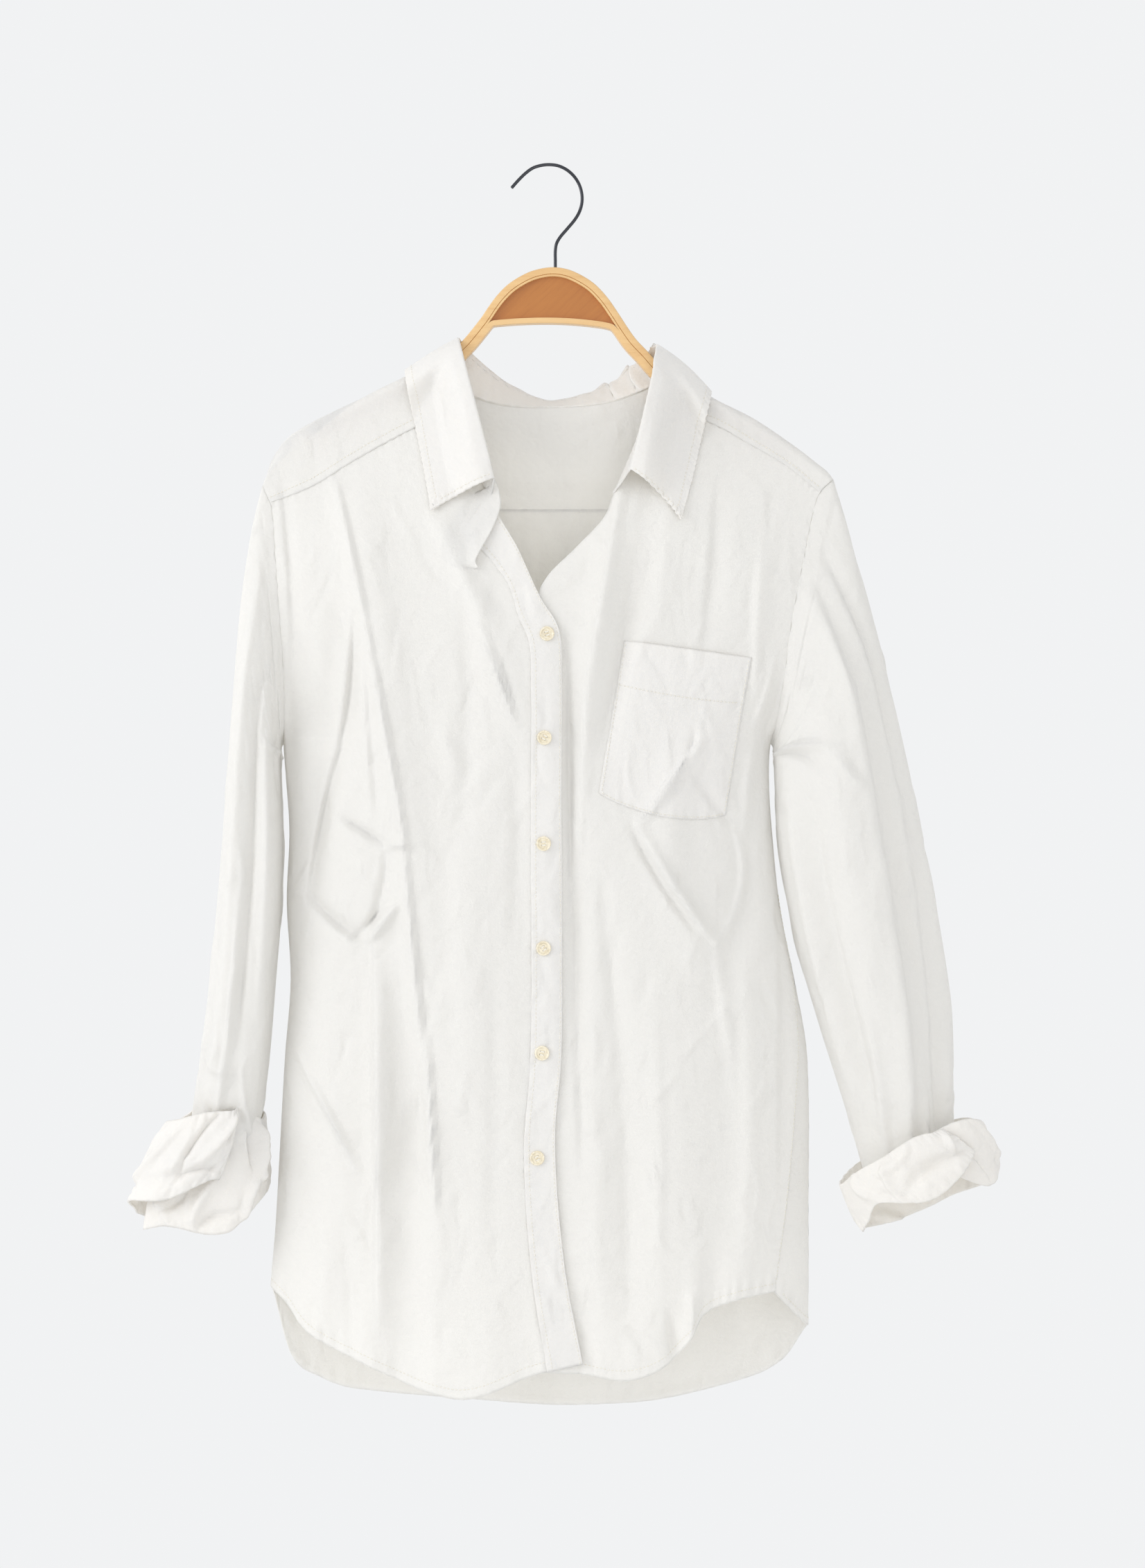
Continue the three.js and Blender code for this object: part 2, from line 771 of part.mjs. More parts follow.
// Hem of that strip, from the front's hem corner to the side.
const WRAP_HEM = { fromX: 173, toX: 201, fromZ: -873, toZ: -903 };

function addBack(columns, rows) {
  const hem = columnCurve(HEM_BACK, "x", "z");
  const turnAt = (z) => {
    const half = (level.right(z) - level.left(z)) / 2;
    const inset = Math.max(0, seamInset(z)) + SEAM_GAP / 2;
    return Math.acos(clamp(1 - inset / half, -1, 1)) - 2 * Math.acos(1 - SEAM_GAP / 2 / half);
  };
  const wrapHem = (x) => {
    const share = (x - WRAP_HEM.fromX) / (WRAP_HEM.toX - WRAP_HEM.fromX);
    return mix(WRAP_HEM.fromZ, WRAP_HEM.toZ, clamp(share, 0, 1));
  };
  const top = BACK_YOKE_SEAM - SEAM_GAP / 2;
  const grid = gridOf(columns, rows, (u, t) => {
    const leftEnd = -Math.PI / 2 + SIDE_CLEARANCE;
    const xAt = (z) => {
      const wrap = z < WRAP_START ? turnAt(z) : -SIDE_CLEARANCE;
      const phi = mix(leftEnd, Math.PI / 2 + wrap, u);
      const [left, right] = [level.left(z), level.right(z)];
      const x = (left + right) / 2 + ((right - left) / 2) * Math.sin(phi);
      return [x, phi > Math.PI / 2 ? "front" : "back"];
    };
    let z = mix(top, HEM_BACK[0].z, t);
    for (let pass = 0; pass < 3; pass += 1) {
      const [x, face] = xAt(z);
      z = mix(top, face === "front" ? wrapHem(x) : hem(x), t);
    }
    const [x, face] = xAt(z);
    return bodyPoint(x, z, face);
  });
  addPiece("back", wallGeometry(grid, CLOTH_WALL), finish.cotton);
}

const YOKE_GRID = { shoulderColumns: 0.3, ridgeCrowding: 1.5, tipCrowding: 1.4 };

function addYoke(columns, rows) {
  const inner = (s) => {
    if (s < SIDE_SHARE) return neckEdge(mix(NECK.left, NECK.leftRidge, s / SIDE_SHARE));
    if (s > 1 - SIDE_SHARE)
      return neckEdge(mix(NECK.right, NECK.rightRidge, (1 - s) / SIDE_SHARE));
    const share = (s - SIDE_SHARE) / (1 - 2 * SIDE_SHARE);
    return neckEdge(mix(NECK.leftRidge, NECK.rightRidge, share));
  };
  const seamPath = (rowsOf) => {
    const path = pathThrough(rowsOf, ["x", "z"]);
    return (t) => {
      const [x, z] = path(t);
      return [x, -wayDown(ridge(x) - z)];
    };
  };
  const frontSeam = { left: seamPath(YOKE_FRONT_LEFT), right: seamPath(YOKE_FRONT_RIGHT) };
  const yokeZ = {
    left: YOKE_FRONT_LEFT[YOKE_FRONT_LEFT.length - 1].z,
    right: YOKE_FRONT_RIGHT[YOKE_FRONT_RIGHT.length - 1].z,
  };
  // v runs from -1 at the front seam over the tip of the shoulder, 0, to 1 at the back seam.
  const armhole = (side) => (v) =>
    armholeAt(
      side,
      mix(SHOULDER_TIP[side], v < 0 ? yokeZ[side] : BACK_YOKE_SEAM, v * v),
      v < 0 ? "front" : "back",
    );
  const [armLeft, armRight] = [armhole("left"), armhole("right")];
  const backStart = armLeft(1);
  const backEnd = armRight(1);
  const outer = (s) => {
    if (s < 2 * SIDE_SHARE) return armLeft(s / SIDE_SHARE - 1);
    if (s > 1 - 2 * SIDE_SHARE) return armRight((1 - s) / SIDE_SHARE - 1);
    const x = mix(backStart[0], backEnd[0], (s - 2 * SIDE_SHARE) / (1 - 4 * SIDE_SHARE));
    return [x, wayDown(ridge(x) - BACK_YOKE_SEAM)];
  };
  const pin = (curve, start, end) => (t) =>
    curve(t).map((v, k) => v + mix(start[k] - curve(0)[k], end[k] - curve(1)[k], t));
  const leftEnd = pin(frontSeam.left, inner(0), outer(0));
  const rightEnd = pin(frontSeam.right, inner(1), outer(1));
  const at = patch(inner, outer, leftEnd, rightEnd);
  // Columns crowd at the ridge on both shoulders, and rows towards the tips.
  const { shoulderColumns, ridgeCrowding, tipCrowding } = YOKE_GRID;
  const crowd = (v) => Math.sign(v) * Math.abs(v) ** ridgeCrowding;
  const overShoulder = (u) => SIDE_SHARE * (1 + crowd((2 * u) / shoulderColumns - 1));
  const shareAt = (u) => {
    if (u < shoulderColumns) return overShoulder(u);
    if (u > 1 - shoulderColumns) return 1 - overShoulder(1 - u);
    const amid = (u - shoulderColumns) / (1 - 2 * shoulderColumns);
    return mix(2 * SIDE_SHARE, 1 - 2 * SIDE_SHARE, amid);
  };
  const grid = gridOf(columns, rows, (u, t) =>
    clothPoint(...at(shareAt(u), 1 - (1 - t) ** tipCrowding)),
  );
  addPiece("yoke", wallGeometry(grid, CLOTH_WALL), finish.cotton);
}

// ---------------------------------------------------------------- collar and its stand

const byRow = (columns) => {
  const keyed = COLLAR.map((row, i) => ({ ...row, way: i / (COLLAR.length - 1) }));
  const curves = columns.map((c) => columnCurve(keyed, "way", c));
  return (share) => curves.map((curve) => curve(share));
};
const collarRow = {
  neck: byRow(["x", "down"]),
  fold: byRow(["foldX", "foldY", "foldZ"]),
  edge: byRow(["edgeX", "edgeY", "edgeZ"]),
};

function collarLines(share) {
  const [x, down] = collarRow.neck(share);
  return {
    neck: clothPoint(x, down),
    fold: new THREE.Vector3(...collarRow.fold(share)),
    edge: new THREE.Vector3(...collarRow.edge(share)),
  };
}

const STAND_FOOT = 0.12;
const STAND_TOP = 0.76;
const LEAF_START = 0.95;

function addStand(columns, rows) {
  const grid = gridOf(columns, rows, (s, t) => {
    const { neck, fold } = collarLines(s);
    return neck.clone().lerp(fold, mix(STAND_FOOT, STAND_TOP, t));
  });
  addPiece("collar_stand", wallGeometry(grid, COLLAR_WALL), finish.cotton);
}

function addCollar(columns, rows) {
  const grid = gridOf(columns, rows, (s, t) => {
    const { neck, fold, edge } = collarLines(s);
    const lip = 1 / rows; // the first row turns in over the stand
    if (t < lip / 2) return neck.clone().lerp(fold, LEAF_START);
    const along = clamp((t - lip) / (1 - lip), 0, 1);
    const point = fold.clone().lerp(edge, along);
    const outward = new THREE.Vector3(point.x - NECK_CENTRE_X, point.y, 0).normalize();
    return point.addScaledVector(outward, COLLAR_BULGE * Math.sin(Math.PI * along));
  });
  addPiece("collar", wallGeometry(grid, COLLAR_WALL), finish.cotton);
}

// ---------------------------------------------------------------- sleeves and cuffs

function sleeveRing(side, row, theta) {
  const armTop = SHOULDER_TIP[side];
  const first = side === "left" ? SLEEVE_LEFT[0] : SLEEVE_RIGHT[0];
  const ellipse = (r) => {
    const c = Math.cos(theta);
    const s = Math.sign(Math.sin(theta)) * Math.abs(Math.sin(theta)) ** SLEEVE_POWER;
    return new THREE.Vector3(
      mix(r.inX, r.outX, (1 + c) / 2),
      r.y - r.depth * s,
      mix(r.inZ, r.outZ, (1 + c) / 2),
    );
  };
  const point = ellipse(row);
  if (row.hold <= 0) return point;
  const z = mix(armTop, UNDERARM, (1 - Math.cos(theta)) / 2);
  const seam = bodyPoint(level[side](z), z, Math.sin(theta) >= 0 ? "front" : "back");
  seam.x += armholeSide(side) * ARMHOLE_GAP;
  return point.addScaledVector(seam.sub(ellipse(first)), row.hold);
}

const SLEEVE_STEP = 2; // rows of the solid between two rows of a sleeve's table

function sleeveGrid(side, columns) {
  const rows = side === "left" ? SLEEVE_LEFT : SLEEVE_RIGHT;
  const keyed = rows.map((row, i) => ({ ...row, way: i }));
  const curves = Object.fromEntries(
    SLEEVE_COLUMNS.map((c) => [c, columnCurve(keyed, "way", c)]),
  );
  const steps = (rows.length - 1) * SLEEVE_STEP;
  return Array.from({ length: columns }, (_, i) => {
    const theta = (2 * Math.PI * i) / columns;
    return Array.from({ length: steps + 1 }, (__, j) => {
      const way = j / SLEEVE_STEP;
      const row = Object.fromEntries(SLEEVE_COLUMNS.map((c) => [c, curves[c](way)]));
      const point = sleeveRing(side, row, theta);
      const share = j / steps;
      let rise = 0;
      for (const fold of SLEEVE_FOLDS[side]) {
        const turn = THREE.MathUtils.radToDeg(theta) - fold.turn;
        const fade = Math.sin(Math.PI * clamp((share - fold.from) / (fold.to - fold.from), 0, 1));
        rise += fold.rise * fade * Math.exp(-((turn / fold.width) ** 2));
      }
      const centre = new THREE.Vector3((row.outX + row.inX) / 2, row.y, point.z);
      return point.addScaledVector(point.clone().sub(centre).setZ(0).normalize(), rise);
    });
  });
}

function cuffGrid(rows, columns) {
  return Array.from({ length: columns }, (_, i) => {
    const theta = (2 * Math.PI * i) / columns;
    return rows.map((row) => {
      const slope = THREE.MathUtils.degToRad(row.slope);
      const tilt = THREE.MathUtils.degToRad(row.tilt);
      const along = new THREE.Vector3(Math.cos(slope), 0, Math.sin(slope));
      const front = new THREE.Vector3(0, -1, 0).applyAxisAngle(along, -tilt);
      const facet = 1 + CUFF_FACET_RISE * Math.cos(CUFF_FACETS * theta);
      const s = Math.sin(theta);
      return new THREE.Vector3(row.x, row.y, row.z)
        .addScaledVector(along, row.length * Math.cos(theta))
        .addScaledVector(front, row.depth * facet * Math.sign(s) * Math.abs(s) ** CUFF_POWER);
    });
  });
}

// ---------------------------------------------------------------- placket, pocket, buttons

function addPlacket(at, rows) {
  const from = PLACKET_ROWS_ABOVE / rows;
  const acrossShare = PLACKET_WIDTH / FRONT_GIRTH;
  const grid = gridOf(3, rows - PLACKET_ROWS_ABOVE, (s, t) => {
    const [x, z] = at(s * acrossShare, mix(from, 1, t));
    return bodyPoint(x, z, "front", PLACKET_LIFT);
  });
  addPiece("placket", wallGeometry(grid, CLOTH_WALL), finish.cotton);
}

function addPocket(columns, rows) {
  const { topLeft, topRight, bottomLeft, bottomRight, bottomDip, dipPower } = POCKET;
  const line = (a, b) => (t) => [mix(a[0], b[0], t), mix(a[1], b[1], t)];
  const bottom = (s) => {
    const [x, z] = line(bottomLeft, bottomRight)(s);
    return [x, z - bottomDip * Math.sin(Math.PI * s) ** dipPower];
  };
  const at = patch(
    line(topLeft, topRight),
    bottom,
    line(topLeft, bottomLeft),
    line(topRight, bottomRight),
  );
  const grid = gridOf(columns, rows, (s, t) => bodyPoint(...at(s, t), "front", POCKET_LIFT));
  addPiece("pocket", wallGeometry(grid, CLOTH_WALL), finish.cotton);
}

function addButtons() {
  const { radius, thickness, rim, dish } = BUTTON;
  const profile = [
    [0, 0],
    [radius - rim, 0],
    [radius, rim],
    [radius, thickness - rim],
    [radius - rim, thickness],
    [dish + rim, thickness],
    [dish, thickness - rim],
    [0, thickness - rim],
  ].map(([r, h]) => new THREE.Vector2(r, h));
  const lift = PLACKET_LIFT + CLOTH_WALL / 2 + SEAM_GAP;
  BUTTONS.forEach((place, i) => {
    const here = bodyPoint(place.x, place.z, "front", lift);
    const across = bodyPoint(place.x + radius, place.z, "front", lift).sub(
      bodyPoint(place.x - radius, place.z, "front", lift),
    );
    const along = bodyPoint(place.x, place.z - radius, "front", lift).sub(
      bodyPoint(place.x, place.z + radius, "front", lift),
    );
    const normal = across.cross(along).normalize();
    const button = addPiece(
      `button_${i + 1}`,
      new THREE.LatheGeometry(profile, BUTTON_SIDES),
      finish.pearl,
    );
    if (normal.y > 0) normal.negate();
    button.position.copy(here).addScaledVector(normal, SEAM_GAP);
    button.quaternion.setFromUnitVectors(new THREE.Vector3(0, 1, 0), normal);
  });
}

// ---------------------------------------------------------------- hanger

const PATH_STEP = 0.004; // share of a path's length over which its direction is read
const BOW_STEPS = 54;
const RAIL_STEPS = 14;

// A point of a path, and the direction square to it that leads inwards, in x and z.
function pathFrame(path, t) {
  const [x, z] = path(t);
  const [ax, az] = path(Math.max(0, t - PATH_STEP));
  const [bx, bz] = path(Math.min(1, t + PATH_STEP));
  const length = Math.hypot(bx - ax, bz - az);
  return { x, z, nx: (bz - az) / length, nz: -(bx - ax) / length };
}

// Rings of a flat wooden strip whose outer edge follows a path; depth is measured inwards.
function stripRings(path, steps, depth, cornerAt) {
  const half = WOOD_THICKNESS / 2;
  return Array.from({ length: steps + 1 }, (_, i) => {
    const { x, z, nx, nz } = pathFrame(path, i / steps);
    const corner = cornerAt(x);
    const section = [
      [-half, corner],
      [-half + corner, 0],
      [half - corner, 0],
      [half, corner],
      [half, depth],
      [-half, depth],
    ];
    return section.map(([y, d]) => new THREE.Vector3(x + nx * d, y, z + nz * d));
  });
}

function solidFrom(geometry) {
  const bare = new THREE.BufferGeometry();
  bare.setAttribute("position", geometry.getAttribute("position"));
  if (geometry.index) bare.setIndex(geometry.index);
  const merged = mergeVertices(bare, 1e-4);
  return new wasm.Manifold(
    new wasm.Mesh({
      numProp: 3,
      vertProperties: merged.getAttribute("position").array,
      triVerts: new Uint32Array(merged.index.array),
    }),
  );
}

function geometryFrom(solid) {
  const mesh = solid.getMesh();
  const geometry = new THREE.BufferGeometry();
  geometry.setAttribute("position", new THREE.BufferAttribute(mesh.vertProperties, 3));
  geometry.setIndex(new THREE.BufferAttribute(mesh.triVerts, 1));
  geometry.computeVertexNormals();
  return geometry;
}

const STEM = { x: 4.4, foot: -85, bore: WIRE / 2 + SEAM_GAP, below: 0.4 };
const BORE = { length: 12, sides: 12 };
const ARM_POINTS = 8;
const BOW_LENGTH = 400; // rounded
const SQUARE_CORNER = 0.01;

// The bow's outer edge: an arm under the ridge, the arch, and the other arm.
function bowRows() {
  const arm = (from, to) =>
    Array.from({ length: ARM_POINTS }, (_, i) => {
      const x = mix(from, to, i / (ARM_POINTS - 1));
      return { x, z: ridge(x) - ARM_UNDER_RIDGE };
    });
  return [...arm(ARM_END.left, ARM_START.left), ...ARCH, ...arm(ARM_START.right, ARM_END.right)];
}

function offsetPoint(path, t, depth) {
  const { x, z, nx, nz } = pathFrame(path, t);
  return { x: x + nx * depth, z: z + nz * depth };
}

// A second lamination under the bow, grown by a gap on every side where it is a cutter.
function lamination(bow, [from, to], grow = 0) {
  const depth = BOW_DEPTH + LAMINATION_GAP - grow;
  const longer = grow / BOW_LENGTH;
  const rows = Array.from({ length: RAIL_STEPS + 1 }, (_, i) =>
    offsetPoint(bow, mix(from - longer, to + longer, i / RAIL_STEPS), depth),
  );
  const path = pathThrough(rows, ["x", "z"]);
  return barGeometry(stripRings(path, RAIL_STEPS, RAIL_DEPTH + 2 * grow, () => CHAMFER.rail));
}

function addHanger() {
  const bow = pathThrough(bowRows(), ["x", "z"]);
  const cornerAt = (x) => (Math.abs(x) > ARCH_REACH ? CHAMFER.arm : CHAMFER.arch);
  const strip = barGeometry(stripRings(bow, BOW_STEPS, BOW_DEPTH, cornerAt));
  const bore = new THREE.CylinderGeometry(STEM.bore, STEM.bore, BORE.length, BORE.sides)
    .rotateX(Math.PI / 2)
    .translate(STEM.x, 0, STEM.foot + BORE.length / 2 - STEM.below);
  addPiece("hanger_bow", geometryFrom(solidFrom(strip).subtract(solidFrom(bore))), finish.wood);
  addPiece("hanger_arm_left", lamination(bow, LAMINATIONS.left), finish.wood);
  addPiece("hanger_arm_right", lamination(bow, LAMINATIONS.right), finish.wood);

  const railPath = pathThrough(RAIL, ["x", "z"]);
  const railStrip = barGeometry(
    stripRings(railPath, RAIL_STEPS, RAIL_DEPTH, () => CHAMFER.rail),
  );
  const cutters = [
    barGeometry(stripRings(bow, BOW_STEPS, BOW_DEPTH + SEAM_GAP, () => SQUARE_CORNER)),
    lamination(bow, LAMINATIONS.left, SEAM_GAP),
    lamination(bow, LAMINATIONS.right, SEAM_GAP),
  ];
  const rail = cutters
    .reduce((solid, cutter) => solid.subtract(solidFrom(cutter)), solidFrom(railStrip))
    .decompose()
    .sort((a, b) => b.volume() - a.volume())[0];
  addPiece("hanger_rail", geometryFrom(rail), finish.wood);
  return bow;
}

const PANEL_ARCH = { from: 0.3, to: 0.7, steps: 26, aboveRail: 1 };
const PANEL_FOOT = { steps: 10, inset: 0.8 };

function addPanel(bow) {
  const railTop = columnCurve(RAIL, "x", "z");
  const arch = Array.from({ length: PANEL_ARCH.steps + 1 }, (_, i) => {
    const share = mix(PANEL_ARCH.from, PANEL_ARCH.to, i / PANEL_ARCH.steps);
    return offsetPoint(bow, share, BOW_DEPTH + SEAM_GAP);
  }).filter((p) => p.z > railTop(p.x) + PANEL_ARCH.aboveRail);
  const shape = new THREE.Shape(arch.map((p) => new THREE.Vector2(p.x, p.z)));
  const rightEnd = arch[arch.length - 1].x - PANEL_FOOT.inset;
  const leftEnd = arch[0].x + PANEL_FOOT.inset;
  for (let i = 0; i <= PANEL_FOOT.steps; i += 1) {
    const x = mix(rightEnd, leftEnd, i / PANEL_FOOT.steps);
    shape.lineTo(x, railTop(x) + SEAM_GAP);
  }
  const panel = new THREE.ExtrudeGeometry(shape, { depth: PANEL, bevelEnabled: false })
    .rotateX(Math.PI / 2)
    .translate(0, PANEL / 2, 0);
  addPiece("hanger_panel", panel, finish.veneer);
}

// The hook's wire: a flick at its free end, a round loop and the stem down into the bow.
const HOOK_FLICK = table(
  ["x", "z"],
  [
    [-29.5, -15.9],
    [-27, -16.8],
  ],
);
const HOOK_LOOP = { from: 168, to: -33, turns: 18 };
const HOOK_NECK = table(
  ["x", "z"],
  [
    [8.2, -55.2],
    [5.3, -60.4],
    [STEM.x, -66],
    [STEM.x, STEM.foot],
  ],
);
const WIRE_SIDES = 8;

function addHook() {
  const centreZ = WIRE / 2 - HOOK_RADIUS;
  const loop = Array.from({ length: HOOK_LOOP.turns + 1 }, (_, i) => {
    const turn = mix(HOOK_LOOP.from, HOOK_LOOP.to, i / HOOK_LOOP.turns);
    const angle = THREE.MathUtils.degToRad(turn);
    return { x: HOOK_RADIUS * Math.cos(angle), z: centreZ + HOOK_RADIUS * Math.sin(angle) };
  });
  const path = [...HOOK_FLICK, ...loop, ...HOOK_NECK].map((p) => new THREE.Vector3(p.x, 0, p.z));
  const rings = path.map((p, i) => {
    const before = path[Math.max(0, i - 1)];
    const after = path[Math.min(path.length - 1, i + 1)];
    const along = after.clone().sub(before).normalize();
    return Array.from({ length: WIRE_SIDES }, (_, k) => {
      const turn = (2 * Math.PI * k) / WIRE_SIDES;
      const [out, side] = [(WIRE / 2) * Math.cos(turn), (WIRE / 2) * Math.sin(turn)];
      return new THREE.Vector3(p.x - along.z * out, side, p.z + along.x * out);
    });
  });
  addPiece("hanger_hook", barGeometry(rings), finish.steel);
}

// ---------------------------------------------------------------- assembly

const FRONT_ROWS = 25;
const SLEEVE_SIDES = 20;
const CUFF_SIDES = 24;

const lapped = addFront("front_lapped", "left", 18, FRONT_ROWS);
addFront("front_under", "right", 18, FRONT_ROWS);
addBack(26, 20);
addYoke(40, 7);
addStand(40, 2);
addCollar(40, 5);
for (const side of ["left", "right"]) {
  const sleeve = sleeveGrid(side, SLEEVE_SIDES);
  addPiece(`sleeve_${side}`, wallGeometry(sleeve, CLOTH_WALL, true), finish.cotton);
  const cuff = cuffGrid(side === "left" ? CUFF_LEFT : CUFF_RIGHT, CUFF_SIDES);
  addPiece(`cuff_${side}`, wallGeometry(cuff, CUFF_WALL, true), finish.cotton);
}
addPlacket(lapped, FRONT_ROWS);
addPocket(8, 9);
addButtons();
addPanel(addHanger());
addHook();

export default root;
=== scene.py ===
# A long-sleeved cotton blouse, creased from the wash, hanging on a bent-wood clothes hanger.
# Cloth is worked out in millimetres, and its meshes are in metres. The front faces -Y.

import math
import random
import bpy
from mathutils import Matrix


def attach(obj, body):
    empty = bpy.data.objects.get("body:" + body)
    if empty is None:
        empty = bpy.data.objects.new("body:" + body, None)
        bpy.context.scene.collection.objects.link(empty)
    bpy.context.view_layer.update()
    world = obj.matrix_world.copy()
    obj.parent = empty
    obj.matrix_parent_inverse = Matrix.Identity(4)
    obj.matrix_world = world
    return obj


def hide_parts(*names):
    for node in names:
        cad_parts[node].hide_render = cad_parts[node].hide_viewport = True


bl_info = {
    "name": "Blouse on a Hanger",
    "version": (1, 0, 0),
    "blender": (4, 5, 0),
    "location": "3D View > Sidebar > Blouse",
    "description": "Builds a creased cotton blouse on a wooden clothes hanger",
    "category": "Add Mesh",
}

import bmesh
import bpy
import numpy as np
from mathutils import Matrix, Vector

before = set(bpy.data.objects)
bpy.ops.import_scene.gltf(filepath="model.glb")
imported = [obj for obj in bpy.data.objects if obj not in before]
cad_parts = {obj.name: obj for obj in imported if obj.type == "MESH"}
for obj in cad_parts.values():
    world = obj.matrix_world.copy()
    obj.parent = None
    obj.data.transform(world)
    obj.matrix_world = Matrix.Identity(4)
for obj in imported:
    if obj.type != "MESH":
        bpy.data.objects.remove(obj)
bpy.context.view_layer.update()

MM = 0.001
BODY = "root"


# ---------------------------------------------------------------- tables, in millimetres


def table(columns, *rows):
    values = np.array(rows, dtype=float)
    return {name: values[:, i] for i, name in enumerate(columns.split())}


# Top line of the shoulders, where the cloth lies over the hanger.
RIDGE = table(
    "x z",
    (-226, -262), (-223.6, -249.3), (-217.5, -231), (-202, -210.5), (-160, -187.5), (-112, -164),
    (-84, -150.5), (-60, -145), (0, -143), (62, -144.5), (90, -155), (125, -179.5), (158, -196.5),
    (183, -213), (207, -231), (220.6, -244.4), (223, -258),
)
# Level sections of the body: seams at both sides, half depths amid, half depth at the seams.
LEVELS = table(
    "z left right front back seam",
    (-244, -224.5, 221, 22, 19, 9), (-254, -221, 210.5, 23, 20, 11),
    (-266, -216, 205.5, 24, 20, 12), (-298, -213, 198.5, 28, 23, 16),
    (-359, -208, 186.5, 35, 28, 20), (-402, -205.5, 181, 38, 30, 17),
    (-436, -206, 175.5, 40, 32, 7), (-450, -207, 171.8, 41, 32, 0),
    (-475, -205.3, 170.5, 42, 33, 0), (-518, -202.5, 172.5, 43, 34, 0),
    (-573, -204.5, 178, 44, 35, 0), (-634, -201.5, 190.5, 45, 36, 0),
    (-695, -206, 200.5, 46, 37, 0), (-824, -213.2, 201.5, 48, 38, 0),
    (-873, -217, 201.5, 49, 38, 0), (-980, -219, 200, 50, 38, 0),
)
# Neck seam (x and the way down from the ridge), fold line and outer edge of the collar.
COLLAR = table(
    "x down foldX foldY foldZ edgeX edgeY edgeZ",
    (-45, -124, -42, -37, -246.5, -91, -32, -271), (-56, -98, -50, -41, -215, -97, -29, -240),
    (-68, -64, -59, -38, -180, -104, -26, -205), (-79, -26, -67, -23, -149, -110, -18, -176),
    (-84, 0, -69.7, -4, -135.5, -111.8, -1, -159), (-79, 24, -63, 15, -142, -102, 22, -177),
    (-45, 44, -33, 33, -165, -62, 37, -206), (4, 48, 0, 40, -177, 2, 44, -224),
    (50, 43, 44, 36, -168, 62, 38, -214), (81, 24, 73, 17, -149, 110, 23, -196),
    (90, 0, 82, -4, -141.5, 125.3, -1, -175.5), (82, -26, 80, -27, -162, 120, -21, -203),
    (71, -66, 73, -40, -195, 113, -29, -236), (58, -100, 67, -41, -222, 107, -31, -259),
    (49, -119, 62.5, -37, -240, 101.4, -32, -277.4),
)
YOKE_SEAM = {
    "left": table(
        "x z",
        (-72.5, -190), (-106.3, -204.7), (-153.4, -231), (-184, -250), (-217, -263),
    ),
    "right": table(
        "x z",
        (76.5, -190), (121.6, -203.5), (152.1, -218.7), (182.7, -235.2), (209.5, -255),
    ),
}
FRONT_EDGE = {
    "left": table(
        "x z",
        (-45, -265), (-37, -279), (-25, -299), (-7, -338), (7, -362), (9.5, -400), (9.2, -481),
        (9.8, -604), (9.2, -689), (4.5, -756), (11.6, -848), (25.7, -924.4),
    ),
    "right": table(
        "x z",
        (49, -260), (42, -277), (20.8, -299), (-2, -322), (-12, -346), (-14, -420), (-14, -604),
        (-17, -690), (-20, -760), (-14, -848), (-4, -931),
    ),
}
FRONT_HEM = {
    "left": table(
        "x z",
        (-217, -872.5), (-205, -882), (-184, -911), (-135, -933.6), (-98.4, -948.9),
        (-61.7, -954), (-12.8, -935), (25.7, -924.4),
    ),
    "right": table(
        "x z",
        (-4, -931), (25.7, -934), (60.5, -939.7), (88, -931), (107, -911), (118, -889),
        (142, -877), (173.5, -873),
    ),
}
BACK_HEM = table(
    "x z",
    (-217, -872.5), (-203, -928), (-181, -948), (-153, -959), (-61, -968), (24, -973), (97, -966),
    (152, -950), (183, -932), (201, -903),
)
SIDE_SEAM_RIGHT = table(
    "z inset",
    (-450, 0), (-604, 0), (-726, 12), (-799, 18.5), (-873, 28), (-980, 34),
)
# Largest folds: paths of three points, half width and rise.
FOLDS = {
    "front": table(
        "x1 z1 x2 z2 x3 z3 width rise",
        (-153, -235, -124, -420, -88, -640, 17, 7), (-88, -640, -82, -760, -88, -935, 13, 4),
        (-160, -352, -181, -470, -184, -565, 12, -6), (-128, -640, -132, -740, -130, -885, 9, 4.5),
        (-112, -640, -108, -760, -104, -935, 12, -4), (-86, -262, -48, -370, -22, -442, 14, 4),
        (-200, -330, -184, -420, -200, -470, 12, -5), (-58, -480, -46, -640, -52, -930, 24, 5),
        (-180, -610, -172, -700, -150, -930, 20, 5), (12, -372, 22, -560, 14, -700, 10, -6),
        (54, -268, 38, -380, 18, -520, 14, 6), (64, -300, 50, -380, 36, -455, 12, -5),
        (116, -450, 64, -514, 120, -620, 16, 6), (150, -480, 162, -560, 128, -640, 14, -5),
        (39, -560, 54, -690, 60, -900, 16, -3), (24, -660, 34, -780, 40, -930, 12, 3),
        (92, -640, 98, -780, 100, -920, 18, 2.6), (132, -640, 140, -760, 132, -880, 15, -2),
        (185, -381, 174, -440, 168, -482, 10, -6),
    ),
    "back": table(
        "x1 z1 x2 z2 x3 z3 width rise",
        (-120, -280, -128, -560, -140, -940, 22, 8), (-70, -300, -62, -600, -76, -950, 20, -7),
        (-18, -290, -6, -600, -14, -955, 18, 8), (36, -300, 44, -560, 30, -950, 18, -6),
        (92, -290, 84, -600, 96, -950, 22, 8), (142, -320, 136, -620, 150, -930, 18, -6),
        (-176, -420, -168, -640, -180, -900, 16, -6),
    ),
}
